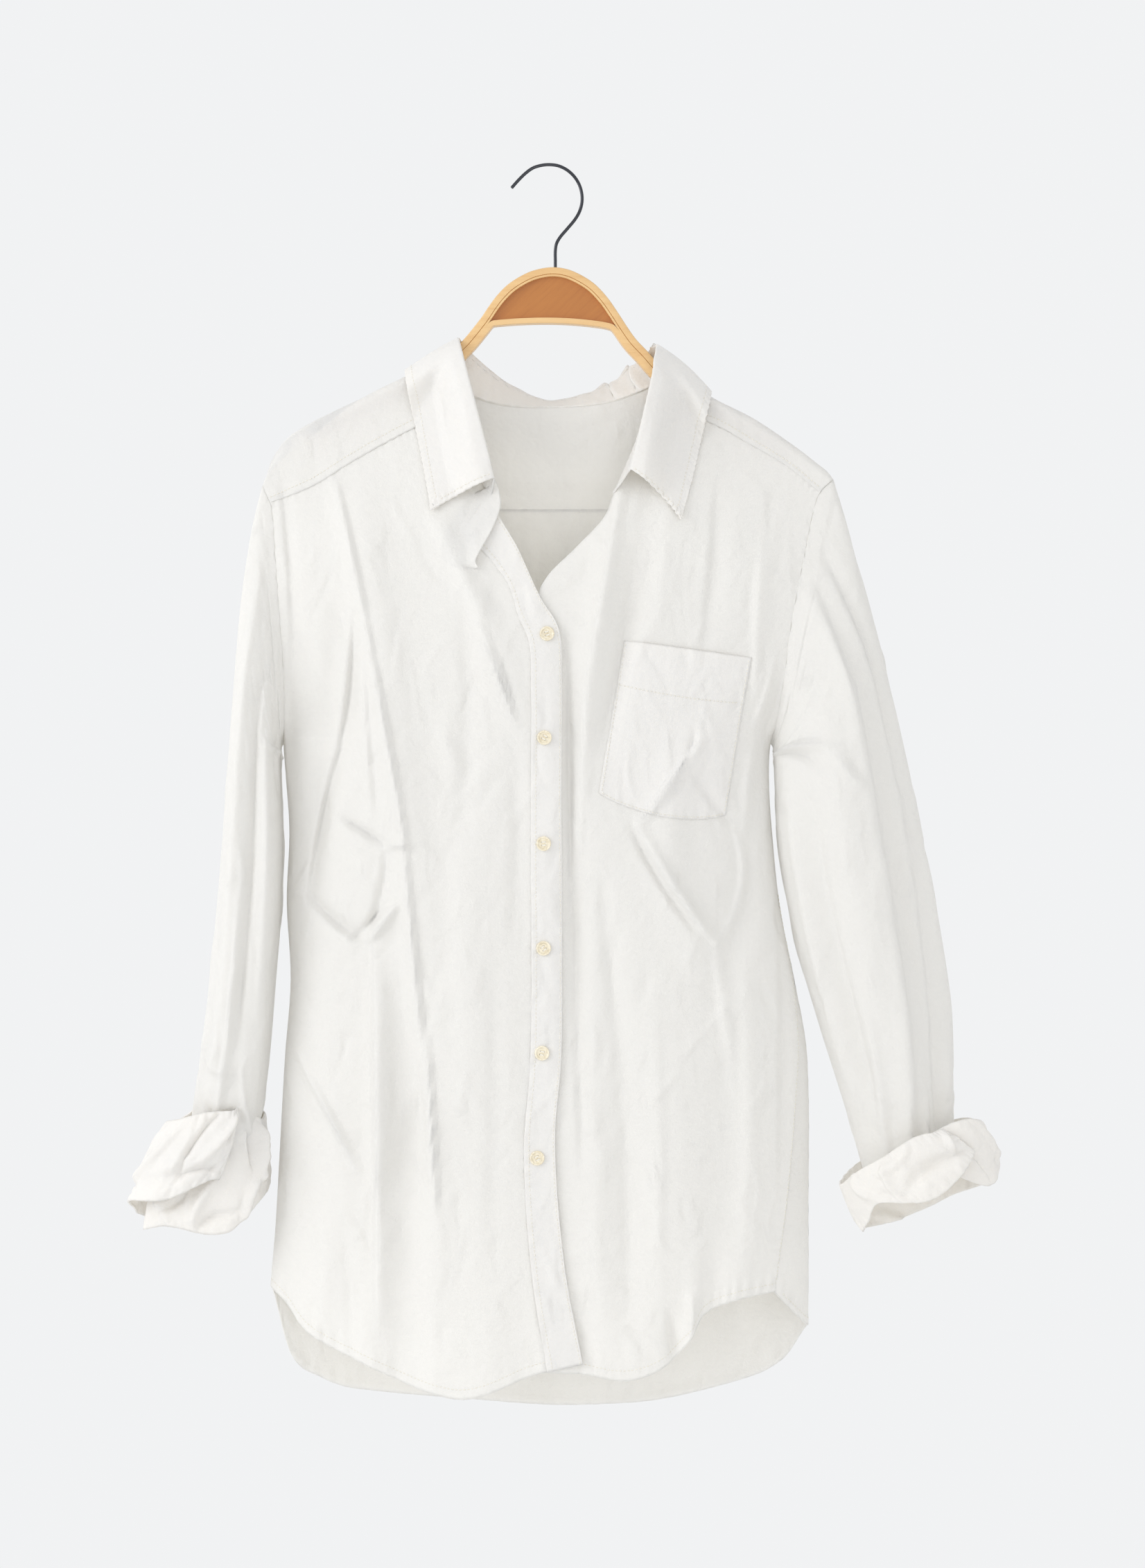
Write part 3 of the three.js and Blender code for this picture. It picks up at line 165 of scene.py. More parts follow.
# Creases lie over the folds. A crease falls off over its left and right widths, seen going down.
CREASES = {
    "front": table(
        "x1 z1 x2 z2 x3 z3 left right rise",
        (-166, -246, -151, -305, -137, -378, 8, 2.6, 3.2),
        (-140, -364, -122, -457, -110, -524, 8, 2.4, 3.8),
        (-112, -510, -104, -616, -95, -700, 7, 2.2, 3.6),
        (-93, -672, -89, -748, -86, -806, 5, 1.8, 3.8),
        (-150, -352, -152, -411, -165, -470, 2.2, 7, -4.2),
        (-163, -458, -179, -510, -186, -571, 2.2, 7, -4.6),
        (-146, -360, -142, -430, -136, -506, 6, 2.4, 2.4),
        (-188, -566, -164, -592, -140, -603, 2.6, 6, -4.4),
        (-142, -604, -128, -590, -114, -569, 3, 4, 4),
        (-150, -600, -136, -586, -124, -572, 2.2, 2.6, -2.6),
        (-161, -507, -141, -518, -124, -530, 2.4, 3.6, -3.2),
        (-127, -531, -116, -528, -106, -527, 2.2, 3, 3),
        (-126, -530, -122, -552, -140, -600, 4, 2.2, -2.8),
        (-135, -600, -132, -728, -131, -900, 2, 9, 4.4),
        (-198, -686, -171, -731, -147, -779, 1.8, 3.6, 3),
        (-91, -706, -118, -768, -134, -816, 7, 9, -2),
        (-54, -358, -40, -398, -25, -436, 1.9, 3, 2),
        (-41, -372, -33, -404, -24, -432, 1.8, 2.6, -1.5),
        (-91, -276, -58, -332, -50, -366, 5, 8, 2.6),
        (-208, -250, -200, -312, -198, -378, 2.6, 6, -3.4),
        (-199, -372, -206, -430, -200, -486, 2.6, 5, -3),
        (-212, -262, -214, -330, -208, -400, 4, 4, 2),
        (-64, -300, -60, -420, -66, -520, 7, 10, -1.6),
        (-70, -520, -64, -640, -70, -760, 8, 12, 1.4),
        (-44, -600, -38, -720, -46, -860, 7, 10, -1.4),
        (-178, -800, -170, -860, -176, -905, 5, 8, 1.8),
        (-158, -820, -150, -880, -152, -930, 5, 7, -1.8),
        (-30, -450, -20, -520, -28, -600, 5, 8, -1.3),
        (12, -370, 15, -470, 17, -576, 2.6, 8, -3.6),
        (16, -566, 22, -680, 26, -800, 3, 8, -2.6),
        (56, -243, 44, -312, 28, -404, 3, 7, 3.2),
        (29, -396, 21, -484, 18, -576, 3, 6, 3),
        (68, -300, 56, -380, 40, -452, 4, 8, -2.8),
        (92, -250, 88, -330, 80, -372, 8, 11, 1.6),
        (130, -250, 126, -320, 118, -378, 3, 10, -2),
        (166, -290, 158, -350, 160, -420, 4, 8, 2),
        (118, -445, 94, -477, 68, -513, 2.2, 5, 3.8),
        (112, -440, 106, -470, 92, -492, 2, 4, -2.2),
        (67, -512, 94, -563, 128, -605, 2.2, 5, 3.8),
        (64, -516, 70, -540, 112, -596, 2, 3, -2.6),
        (142, -514, 160, -560, 129, -604, 2.6, 5, 2.8),
        (108, -470, 128, -500, 142, -516, 3, 5, -2),
        (128, -604, 132, -650, 140, -690, 4, 6, 1.8),
        (186, -376, 180, -414, 167, -441, 2.2, 5, -4),
        (174, -384, 170, -412, 158, -436, 3, 4, 2.6),
        (168, -438, 171, -484, 173, -550, 2.4, 6, -3.6),
        (160, -446, 150, -480, 152, -520, 4, 5, 2.2),
        (39, -544, 50, -650, 54, -700, 5, 8, -1.8),
        (54, -690, 60, -780, 61, -890, 5, 9, -1.6),
        (80, -650, 86, -760, 84, -880, 8, 5, 1.4),
        (150, -620, 156, -720, 150, -850, 6, 9, 1.4),
        (178, -560, 182, -660, 178, -800, 3, 8, -2),
        (108, -872, 112, -892, 104, -918, 4, 3, 4.4),
        (92, -886, 96, -908, 94, -930, 4, 5, -3),
    ),
    "back": table(
        "x1 z1 x2 z2 x3 z3 left right rise",
        (-150, -275, -160, -380, -150, -520, 5, 9, 3),
        (-110, -272, -104, -400, -118, -560, 8, 4, -3),
        (-60, -271, -52, -380, -64, -500, 6, 9, 2.6),
        (-14, -271, -20, -420, -8, -600, 9, 4, -3),
        (30, -272, 36, -380, 24, -520, 4, 8, 2.8),
        (74, -272, 84, -400, 72, -560, 8, 5, -2.8),
        (118, -274, 112, -380, 126, -500, 5, 8, 2.6),
        (160, -300, 150, -420, 158, -520, 7, 4, -2.6),
        (-196, -400, -180, -440, -150, -470, 3, 7, 3.2),
        (-192, -440, -172, -500, -136, -540, 6, 3, -3),
        (172, -400, 158, -440, 130, -472, 6, 3, 3),
        (168, -452, 148, -500, 112, -530, 3, 6, -2.8),
        (-130, -560, -120, -600, -92, -622, 3, 6, 3.4),
        (-60, -540, -40, -590, -50, -650, 9, 7, 2.4),
        (40, -560, 62, -600, 100, -612, 3, 6, 3.2),
        (96, -600, 84, -650, 92, -720, 6, 3, -3),
        (-172, -640, -160, -760, -166, -900, 4, 9, 3),
        (-100, -660, -92, -780, -100, -930, 9, 4, -2.8),
        (-34, -680, -26, -800, -36, -940, 4, 8, 2.8),
        (20, -660, 28, -780, 18, -940, 8, 4, -2.6),
        (70, -700, 64, -820, 74, -930, 4, 8, 2.6),
        (150, -640, 158, -760, 148, -900, 5, 8, -2.8),
    ),
}
# Sleeve rings: outer and inner end, half depth, the centre's y and the hold of the armhole.
SLEEVES = {
    "left": table(
        "outX outZ inX inZ depth y hold",
        (-224.4, -250, -208.2, -451.5, 20, 0, 1), (-229, -268, -209.6, -453.5, 24, 0, 0.85),
        (-234, -294, -210, -456, 31, 0, 0.5), (-240, -340, -210, -461, 39, 0, 0.2),
        (-244, -392, -209.8, -470, 44, 0, 0), (-248, -446, -209, -490, 47, 0, 0),
        (-252, -508, -208, -528, 48, 0, 0), (-257, -566, -209.5, -578, 48, 0, 0),
        (-263, -626, -214, -636, 46, 0, 0), (-270, -685, -218.5, -692, 43, 0, 0),
        (-277, -732, -224, -736, 40, 0, 0), (-283, -775, -232, -778, 36, 0, 0),
    ),
    "right": table(
        "outX outZ inX inZ depth y hold",
        (221.4, -245.2, 173, -451.5, 20, 0, 1), (229, -270, 174.5, -453, 23, 0, 0.8),
        (239, -306, 175, -456, 27, 0, 0.5), (250, -346, 175, -460, 31, 0, 0.2),
        (262, -394, 175, -467, 35, 0, 0), (275, -458, 175.6, -482, 38, 0, 0),
        (288.5, -526, 178.5, -532, 39, 0, 0), (301, -595, 191, -601, 37, 0, 0),
        (310.5, -655, 208.5, -663, 34, 2, 0), (314.5, -708, 226, -718, 30, 5, 0),
        (315.5, -742, 238, -757, 27, 8, 0), (319, -775, 249.6, -802, 27, 6, 0),
    ),
}
SLEEVE_FOLDS = {
    "left": table(
        "turn from to width rise",
        (48, 0.3, 1, 20, 4), (95, 0.25, 1, 18, -5), (140, 0.35, 0.95, 16, 4),
        (235, 0.3, 1, 22, -5), (300, 0.3, 1, 20, 4),
    ),
    "right": table(
        "turn from to width rise",
        (52, 0.3, 1, 16, -7), (92, 0.25, 1, 18, 6), (128, 0.35, 0.95, 14, -4),
        (230, 0.3, 1, 22, 5), (295, 0.3, 1, 20, -5),
    ),
}
# Sleeve creases: turn in degrees from the outer end through the front, and share of the length.
SLEEVE_CREASES = {
    "left": table(
        "turn1 way1 turn2 way2 turn3 way3 left right rise",
        (60, 0.16, 66, 0.4, 58, 0.66, 6, 9, 2.4),
        (96, 0.2, 104, 0.5, 98, 0.8, 8, 5, -2.6),
        (126, 0.24, 120, 0.5, 130, 0.76, 5, 8, 2.2),
        (152, 0.2, 148, 0.34, 158, 0.46, 4, 6, -2.6),
        (170, 0.22, 150, 0.3, 120, 0.36, 3, 6, 2.4),
        (44, 0.5, 50, 0.7, 46, 0.92, 6, 9, -2.2),
        (78, 0.62, 86, 0.76, 78, 0.94, 4, 6, 2.6),
        (30, 0.8, 60, 0.86, 96, 0.84, 3, 5, 2.4),
        (60, 0.9, 84, 0.94, 112, 0.9, 4, 4, -2.6),
        (112, 0.84, 124, 0.92, 150, 0.95, 3, 5, 2.6),
        (220, 0.2, 228, 0.46, 216, 0.76, 5, 9, 3),
        (262, 0.24, 256, 0.5, 268, 0.84, 9, 5, -3),
        (308, 0.2, 300, 0.46, 310, 0.8, 5, 8, 2.6),
        (196, 0.3, 226, 0.4, 262, 0.42, 3, 7, 2.8),
        (240, 0.84, 276, 0.88, 312, 0.86, 4, 6, 2.6),
    ),
    "right": table(
        "turn1 way1 turn2 way2 turn3 way3 left right rise",
        (74, 0.06, 70, 0.3, 68, 0.6, 2.6, 8, 3.6),
        (68, 0.56, 74, 0.76, 90, 0.96, 2.6, 8, 3.6),
        (48, 0.1, 30, 0.36, 28, 0.56, 8, 4, -3.2),
        (28, 0.52, 36, 0.76, 50, 0.96, 8, 4, -3.2),
        (170, 0.26, 140, 0.34, 92, 0.42, 3, 6, 3),
        (160, 0.3, 136, 0.38, 104, 0.46, 5, 3, -2.4),
        (96, 0.42, 86, 0.47, 76, 0.48, 3, 3, 2.4),
        (118, 0.5, 124, 0.66, 118, 0.84, 5, 8, -2.4),
        (146, 0.48, 140, 0.64, 148, 0.8, 8, 5, 2.4),
        (104, 0.7, 108, 0.84, 120, 0.96, 4, 6, 2.4),
        (12, 0.4, 14, 0.6, 10, 0.8, 6, 6, 2.2),
        (60, 0.84, 72, 0.92, 66, 0.98, 3, 4, 2.6),
        (222, 0.2, 230, 0.46, 218, 0.76, 5, 9, 3),
        (266, 0.24, 258, 0.5, 270, 0.84, 9, 5, -3),
        (310, 0.2, 302, 0.46, 312, 0.8, 5, 8, 2.6),
        (196, 0.3, 226, 0.4, 262, 0.42, 3, 7, 2.8),
        (240, 0.84, 276, 0.88, 312, 0.86, 4, 6, 2.6),
    ),
}
# The cuffs are rolled back: stations along each strip, from its outer end inwards, at its top and foot.
CUFFS = {
    "left": table(
        "topX topY topZ footX footY footZ",
        (-264, -27, -740, -272, -27, -778), (-243, -34, -732, -256, -35, -783),
        (-239, -39, -730, -253, -41, -784), (-243, -44, -730.5, -257, -46, -785),
        (-258, -47, -733, -272, -50, -790), (-272, -47, -735, -290, -49, -797),
        (-284, -42, -737, -306, -43, -801), (-293, -30, -741, -323, -28, -804),
        (-297, -14, -746, -320, -10, -812), (-297, 2, -748, -318, 6, -818),
        (-290, 22, -744, -312, 22, -824), (-275, 34, -736, -296, 36, -829),
        (-256, 38, -731, -268, 41, -829), (-238, 30, -731, -244, 33, -824),
        (-227, 14, -736, -226, 16, -806), (-223, -2, -742, -221, -2, -798),
        (-226, -16, -739, -224, -20, -803), (-233, -25, -733, -232, -31, -814),
        (-243, -30, -738, -243, -37, -824), (-256, -31, -740, -262, -38, -826),
        (-268, -31, -742, -280, -37, -824), (-280, -28, -744, -298, -34, -822),
        (-288, -22, -746, -313, -27, -824),
    ),
    "right": table(
        "topX topY topZ footX footY footZ",
        (288, -24, -762, 300, -22, -782), (302, -30, -750, 318, -24, -768),
        (300, -36, -746.5, 327, -30, -763.5), (294, -40, -747.5, 323, -38, -772),
        (284, -42, -751, 313, -45, -784), (272, -42, -757, 298, -48, -795),
        (259, -41, -764, 283, -48, -801), (247, -38, -772, 267, -45, -803),
        (237, -30, -781, 251, -37, -804), (228, -16, -790, 246, -25, -818),
        (226, -6, -791.5, 243.5, -12, -829), (229, 8, -790, 247, 6, -829),
        (242, 24, -781, 260, 20, -827), (262, 32, -769, 280, 28, -822),
        (286, 34, -759, 301, 29, -815), (310, 30, -750, 320, 24, -804),
        (328, 18, -744, 337, 14, -795), (338, 2, -746, 347, 2, -789),
        (334, -14, -742, 347, -13, -788), (322, -24, -741, 341, -23, -791),
        (308, -28, -743, 329, -27, -788), (292, -28, -750, 312, -27, -784),
    ),
}
BUTTONS = table(
    "x z",
    (-1.8, -366), (-3.7, -446), (-4.3, -527), (-4.3, -607), (-5.5, -687), (-9.2, -767),
)
# Outer edge of the hanger's bow over the arch.
ARCH = table(
    "x z",
    (-74.5, -143.4), (-66.4, -135), (-59.3, -126.4), (-52.6, -117.7), (-46.8, -109), (-40.4, -100.6),
    (-31.4, -91.9), (-18, -83.9), (-7, -80.4), (3.8, -79.3), (15, -81.2), (26, -86.2),
    (35.4, -92.6), (44.8, -102.6), (52.4, -113.4), (59.4, -124.2), (67, -135), (76, -144.6),
)
# Top of the rail, between the two arms.
RAIL = table(
    "x z",
    (-45.4, -121.4), (-40, -120.5), (-24, -119.3), (-3, -118.7),
    (18, -119.4), (38, -121.5), (47, -123.2), (50.2, -124.6),
)
# Centre line of the hook's wire, from its tip to the bow.
HOOK = table(
    "x z",
    (-29.8, -17), (-24.4, -10.9), (-19, -5.6), (-13.2, -1.4), (-6.6, 0.7), (0, 1.3), (7, 0.3), (13.6, -2.9),
    (19, -7.8), (22.9, -14), (25, -21.2), (25.1, -28.4), (23.2, -35.4), (19.6, -41.6), (13.8, -48.6),
    (8.2, -55.2), (5.3, -60.4), (4.4, -66), (4.4, -74), (4.4, -85),
)
POCKET_CORNERS = ((57.7, -371), (155.8, -384), (37.9, -488), (136, -505))


# ---------------------------------------------------------------- small maths


def mix(a, b, t):
    return a + (b - a) * t


def ease(t):
    c = np.clip(t, 0, 1)
    return c * c * (3 - 2 * c)


def curve_of(rows, key, column):
    """A smooth curve through a table's column, read at values of its key column."""
    order = np.argsort(rows[key], kind="stable")
    keys, values = rows[key][order], rows[column][order]
    count = len(keys)
    before = np.maximum(np.arange(count) - 1, 0)
    after = np.minimum(np.arange(count) + 1, count - 1)
    slopes = (values[after] - values[before]) / (keys[after] - keys[before])

    def read(at):
        at = np.clip(at, keys[0], keys[-1])
        i = np.clip(np.searchsorted(keys, at, "right") - 1, 0, count - 2)
        span = keys[i + 1] - keys[i]
        t = (at - keys[i]) / span
        t2, t3 = t * t, t * t * t
        return (
            (2 * t3 - 3 * t2 + 1) * values[i]
            + (t3 - 2 * t2 + t) * span * slopes[i]
            + (3 * t2 - 2 * t3) * values[i + 1]
            + (t3 - t2) * span * slopes[i + 1]
        )

    return read


def path_through(rows, columns):
    """A smooth path through a table's rows in their order, read at shares of its length."""
    steps = np.sqrt(sum(np.diff(rows[c]) ** 2 for c in columns))
    way = np.concatenate([[0], np.cumsum(steps)])
    keyed = {**rows, "way": way / way[-1]}
    curves = [curve_of(keyed, "way", c) for c in columns]
    return lambda share: np.stack([curve(share) for curve in curves], -1)


def by_row(rows, columns):
    keyed = {**rows, "way": np.linspace(0, 1, len(rows[columns[0]]))}
    curves = [curve_of(keyed, "way", c) for c in columns]
    return lambda share: np.stack([curve(share) for curve in curves], -1)


def patch(top, bottom, left, right):
    """A patch between four boundary curves that share their corners."""
    zero, one = np.array(0.0), np.array(1.0)
    corners = [top(zero), top(one), bottom(zero), bottom(one)]

    def at(s, t):
        u, v = s[..., None], t[..., None]
        twist = mix(mix(corners[0], corners[1], u), mix(corners[2], corners[3], u), v)
        return mix(top(s), bottom(s), v) + mix(left(t), right(t), u) - twist

    return at


def pinned(curve, start, end):
    """A curve moved, more at one end than at the other, so that it starts and ends where told."""
    a, b = start - curve(np.array(0.0)), end - curve(np.array(1.0))
    return lambda share: curve(share) + mix(a, b, np.asarray(share)[..., None])


def along_path(x, z, points):
    """How far each point is off a path (over 0 to its left, seen going along it) and its share."""
    away = np.full(x.shape, np.inf)
    share = np.zeros(x.shape)
    side = np.ones(x.shape)
    count = len(points) - 1
    for i in range(count):
        a, d = points[i], points[i + 1] - points[i]
        t = np.clip(((x - a[0]) * d[0] + (z - a[1]) * d[1]) / (d @ d), 0, 1)
        gap = np.hypot(x - a[0] - t * d[0], z - a[1] - t * d[1])
        near = gap < away
        away = np.where(near, gap, away)
        share = np.where(near, (i + t) / count, share)
        side = np.where(near, np.sign(d[0] * (z - a[1]) - d[1] * (x - a[0])), side)
    return away * side, share


PATH_STEPS = 12
REACH = 3.2  # widths past which a crease has died out


def crease_rise(x, z, rows, start=0.12, power=1.0):
    """Sum of soft ridges and troughs along short paths, on a sheet's own x and z."""
    left, right = rows.get("left", rows.get("width")), rows.get("right", rows.get("width"))
    flat_x, flat_z = x.ravel(), z.ravel()
    total = np.zeros(flat_x.shape)
    t = np.linspace(0, 1, PATH_STEPS + 1)[:, None]
    for i in range(len(rows["rise"])):
        ends = [np.array([rows[f"x{k}"][i], rows[f"z{k}"][i]]) for k in (1, 2, 3)]
        points = (1 - t) ** 2 * ends[0] + 2 * t * (1 - t) * ends[1] + t * t * ends[2]
        margin = REACH * max(left[i], right[i])
        low, high = points.min(0) - margin, points.max(0) + margin
        near = (flat_x > low[0]) & (flat_x < high[0]) & (flat_z > low[1]) & (flat_z < high[1])
        if not near.any():
            continue
        away, share = along_path(flat_x[near], flat_z[near], points)
        width = np.where(away < 0, left[i], right[i])
        fade = np.sin(np.pi * mix(start, 1 - start, share)) ** power
        total[near] += rows["rise"][i] * fade * np.exp(-((away / width) ** 2))
    return total.reshape(x.shape)


# ---------------------------------------------------------------- the body's surface

RIDGE_RADIUS = 8
RIDGE_SPREAD = 120
SECTION_POWER = 2.6
SEAM_SOFTNESS = 12
SHOULDER_TIP = {"left": -249.3, "right": -244.4}
UNDERARM = -450
BACK_YOKE_SEAM = -268
NECK = {"left": 0.168, "leftRidge": 0.2874, "rightRidge": 0.7123, "right": 0.823}
SIDE_SHARE = 0.1
NECK_CENTRE_X = 4
NECK_SIDE_X = 60
SEAM_CLEARANCE = 0.3
OVERLAP_STEP = 1.7
OVERLAP_END = 46
OVERLAP_BLEND = 28
OVERLAP_TOP = -300
FRONT_GIRTH = 238
FRONT_LENGTH = 665
PLACKET_WIDTH = 25

ridge = curve_of(RIDGE, "x", "z")
level = {c: curve_of(LEVELS, "z", c) for c in ("left", "right", "front", "back", "seam")}
seam_inset = curve_of(SIDE_SEAM_RIGHT, "z", "inset")


def rumples(seed, count, low, high, lean):
    """Short shallow creases of a washed cotton, scattered over a sheet."""
    pick = random.Random(seed)
    rows = []
    for _ in range(count):
        x, z = pick.uniform(low[0], high[0]), pick.uniform(low[1], high[1])
        length = pick.uniform(12, 54)
        turn = pick.gauss(0, lean)
        dx, dz = length * math.sin(turn), -length * math.cos(turn)
        bow = pick.uniform(-0.25, 0.25)
        middle = (x + dx / 2 - dz * bow, z + dz / 2 + dx * bow)
        wide, narrow = pick.uniform(2.8, 7), pick.uniform(1.5, 3)
        widths = (wide, narrow) if pick.random() < 0.5 else (narrow, wide)
        rise = pick.choice((-1, 1)) * pick.uniform(0.3, 1)
        rows.append((x, z, *middle, x + dx, z + dz, *widths, rise))
    return table("x1 z1 x2 z2 x3 z3 left right rise", *rows)


RUMPLES = {
    "front": rumples(11, 330, (-215, -940), (205, -240), 0.5),
    "back": rumples(23, 300, (-215, -940), (205, -240), 0.5),
    "sleeve": rumples(37, 210, (0, -520), (290, -20), 0.55),
}
PLACKET_RUMPLES = rumples(53, 60, (0, -665), (25, -330), 0.9)
CUFF_RUMPLES = {
    "left": rumples(61, 120, (0, -70), (440, 0), 1.2),
    "right": rumples(67, 80, (0, -44), (400, 0), 1.2),
}


def look():
    return bpy.context.scene.blouse_cloth


def main_creases(x, z, rows):
    return crease_rise(x, z, rows, 0.04, 0.7) * look().crease_depth


def small_creases(x, z, rows):
    return crease_rise(x, z, rows) * look().rumple_depth / MM


def across_at(x, z):
    left, right = level["left"](z), level["right"](z)
    return np.clip((2 * x - left - right) / (right - left), -1, 1)


def depth_at(x, z, face):
    """Distance of the cloth from the hanging plane, out to the front or the back."""
    seam = np.maximum(0, level["seam"](z))
    across = np.abs(across_at(x, z))
    power = mix(0.5, 1, ease(seam / SEAM_SOFTNESS))
    inside = np.maximum(0, 1 - across**SECTION_POWER)
    spread = seam + (level[face](z) - seam) * inside**power
    drop = ridge(x) - z
    round_over = np.sqrt(np.maximum(0, RIDGE_RADIUS**2 - (RIDGE_RADIUS - drop) ** 2))
    bend = np.where(drop < RIDGE_RADIUS, round_over, RIDGE_RADIUS)
    grown = ease((drop - RIDGE_RADIUS) / RIDGE_SPREAD)
    folds = crease_rise(x, z, FOLDS[face]) * grown * (1 - across**8)
    fine = main_creases(x, z, CREASES[face]) + small_creases(x, z, RUMPLES[face])
    fine = fine * ease((drop - 6) / 40) * (1 - across**14)
    return bend + (spread - RIDGE_RADIUS) * grown + folds + fine


def body_points(xz, face, out=0.0):
    x, z = xz[..., 0], xz[..., 1]
    side = -1 if face == "front" else 1
    return np.stack([x, side * (depth_at(x, z, face) + out), z], -1)


QUARTER_BEND = math.pi / 2 * RIDGE_RADIUS


def way_down(drop):
    bent = RIDGE_RADIUS * np.arccos(np.clip(1 - np.maximum(0, drop) / RIDGE_RADIUS, -1, 1))
    return np.where(drop < RIDGE_RADIUS, bent, drop - RIDGE_RADIUS + QUARTER_BEND)


def drop_of(way):
    bent = RIDGE_RADIUS * (1 - np.cos(np.minimum(way, QUARTER_BEND) / RIDGE_RADIUS))
    return np.where(way < QUARTER_BEND, bent, way + RIDGE_RADIUS - QUARTER_BEND)


def cloth_points(x_down, out=0.0):
    """Points at x and a way down from the ridge, less than 0 at the front."""
    x, down = x_down[..., 0], x_down[..., 1]
    xz = np.stack([x, ridge(x) - drop_of(np.abs(down))], -1)
    front, back = body_points(xz, "front", out), body_points(xz, "back", out)
    return np.where((down < 0)[..., None], front, back)


def pucker(along, away, depth=0.45, pitch=8.5, reach=5.0):
    """Ripples that a line of stitches draws in the cloth beside it."""
    wave = np.sin(2 * np.pi * (along + 2.4 * np.sin(along / 23) + 1.7 * np.sin(along / 9.1)) / pitch)
    return depth * (0.65 + 0.35 * np.sin(along / 31)) * wave * np.exp(-((away / reach) ** 2))


# ---------------------------------------------------------------- meshes from sheets


def unit(vectors):
    return vectors / np.maximum(1e-9, np.linalg.norm(vectors, axis=-1, keepdims=True))


def sheet_normals(grid, closed):
    if closed:
        across = np.roll(grid, -1, 0) - np.roll(grid, 1, 0)
    else:
        across = np.gradient(grid, axis=0)
    return unit(np.cross(across, np.gradient(grid, axis=1)))


def front_normals(grid):
    """An open sheet's normals, turned out of the front."""
    normals = sheet_normals(grid, False)
    return normals * np.sign(-normals[..., 1:2].mean())


def flat_ways(grid, closed):
    """Mean way across and along a sheet to each of its columns and rows."""
    ring = np.concatenate([grid, grid[:1]]) if closed else grid
    across = np.linalg.norm(np.diff(ring, axis=0), axis=-1).mean(1)
    along = np.linalg.norm(np.diff(grid, axis=1), axis=-1).mean(0)
    return np.concatenate([[0], np.cumsum(across)]), np.concatenate([[0], np.cumsum(along)])


def add_mesh(name, points, faces, uvs=None, flat_faces=0):
    """A mesh object from points in millimetres; the last flat_faces faces aren't smooth."""
    mesh = bpy.data.meshes.new(name)
    mesh.from_pydata((points * MM).tolist(), [], faces.tolist())
    smooth = np.ones(len(faces), dtype=bool)
    if flat_faces:
        smooth[-flat_faces:] = False
    mesh.polygons.foreach_set("use_smooth", smooth)
    if uvs is not None:
        layer = mesh.uv_layers.new(name="cloth")
        layer.data.foreach_set("uv", (uvs * MM).ravel())
    mesh.validate()
    mesh.update()
    made = bpy.data.objects.new(name, mesh)
    bpy.context.scene.collection.objects.link(made)
    return made


def add_shell(name, grid, thickness, closed=False):
    """A thin shell of cloth on both sides of a sheet of points; closed goes round its columns."""
    columns, rows = grid.shape[:2]
    half = np.broadcast_to(np.asarray(thickness, dtype=float), (columns, rows))[..., None] / 2
    normals = sheet_normals(grid, closed)
    sides = (grid + normals * half, grid - normals * half)
    points = np.concatenate([side.reshape(-1, 3) for side in sides])
    under = columns * rows
    u, v = flat_ways(grid, closed)
    last = columns if closed else columns - 1
    i, j = np.meshgrid(np.arange(last), np.arange(rows - 1), indexing="ij")
    i, j = i.ravel(), j.ravel()
    k = (i + 1) % columns
    a, b, c, d = i * rows + j, k * rows + j, k * rows + j + 1, i * rows + j + 1
    corners = ((i, j), (i + 1, j), (i + 1, j + 1), (i, j + 1))
    corner_uv = np.stack([np.stack([u[p], v[q]], -1) for p, q in corners], 1)
    outer = np.stack([a, b, c, d], 1)
    inner = np.stack([a, d, c, b], 1) + under
    faces, uvs = [outer, inner], [corner_uv, corner_uv[:, [0, 3, 2, 1]]]

    def rim(column_p, row_p, column_q, row_q):
        """Faces across the cut edge that runs from each grid point p to the next one, q."""
        p, q = (column_p % columns) * rows + row_p, (column_q % columns) * rows + row_q
        uv_p = np.stack(np.broadcast_arrays(u[column_p], v[row_p]), -1)
        uv_q = np.stack(np.broadcast_arrays(u[column_q], v[row_q]), -1)
        faces.append(np.stack([q, p, p + under, q + under], 1))
        uvs.append(np.stack([uv_q, uv_p, uv_p, uv_q], 1))

    i, j = np.arange(last), np.arange(rows - 1)
    rim(i, 0, i + 1, 0)
    rim(i + 1, rows - 1, i, rows - 1)
    if not closed:
        rim(0, j + 1, 0, j)
        rim(columns - 1, j, columns - 1, j + 1)
    rims = sum(len(f) for f in faces[2:])
    faces, uvs = np.concatenate(faces), np.concatenate(uvs)
    p = points[faces]
    volume = np.einsum("ij,ij->i", p[:, 0], np.cross(p[:, 1], p[:, 2]) + np.cross(p[:, 2], p[:, 3])).sum()
    if volume < 0:
        faces, uvs = faces[:, ::-1], uvs[:, ::-1]
    return add_mesh(name, points, faces, uvs, rims)


def grid_shares(columns, rows, crowd=None):
    s, t = np.meshgrid(np.linspace(0, 1, columns + 1), np.linspace(0, 1, rows + 1), indexing="ij")
    return (crowd(s) if crowd else s), t


def finish_piece(made, node, material):
    made.data.materials.clear()
    made.data.materials.append(material)
    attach(made, BODY)
    if node:
        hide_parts(node)
    return made


# ---------------------------------------------------------------- stitches


STITCHES = []
STITCH = {"pitch": 3.1, "half": 0.32, "top": 0.3, "foot": 0.1, "sunk": 0.2, "shoulder": 0.22}
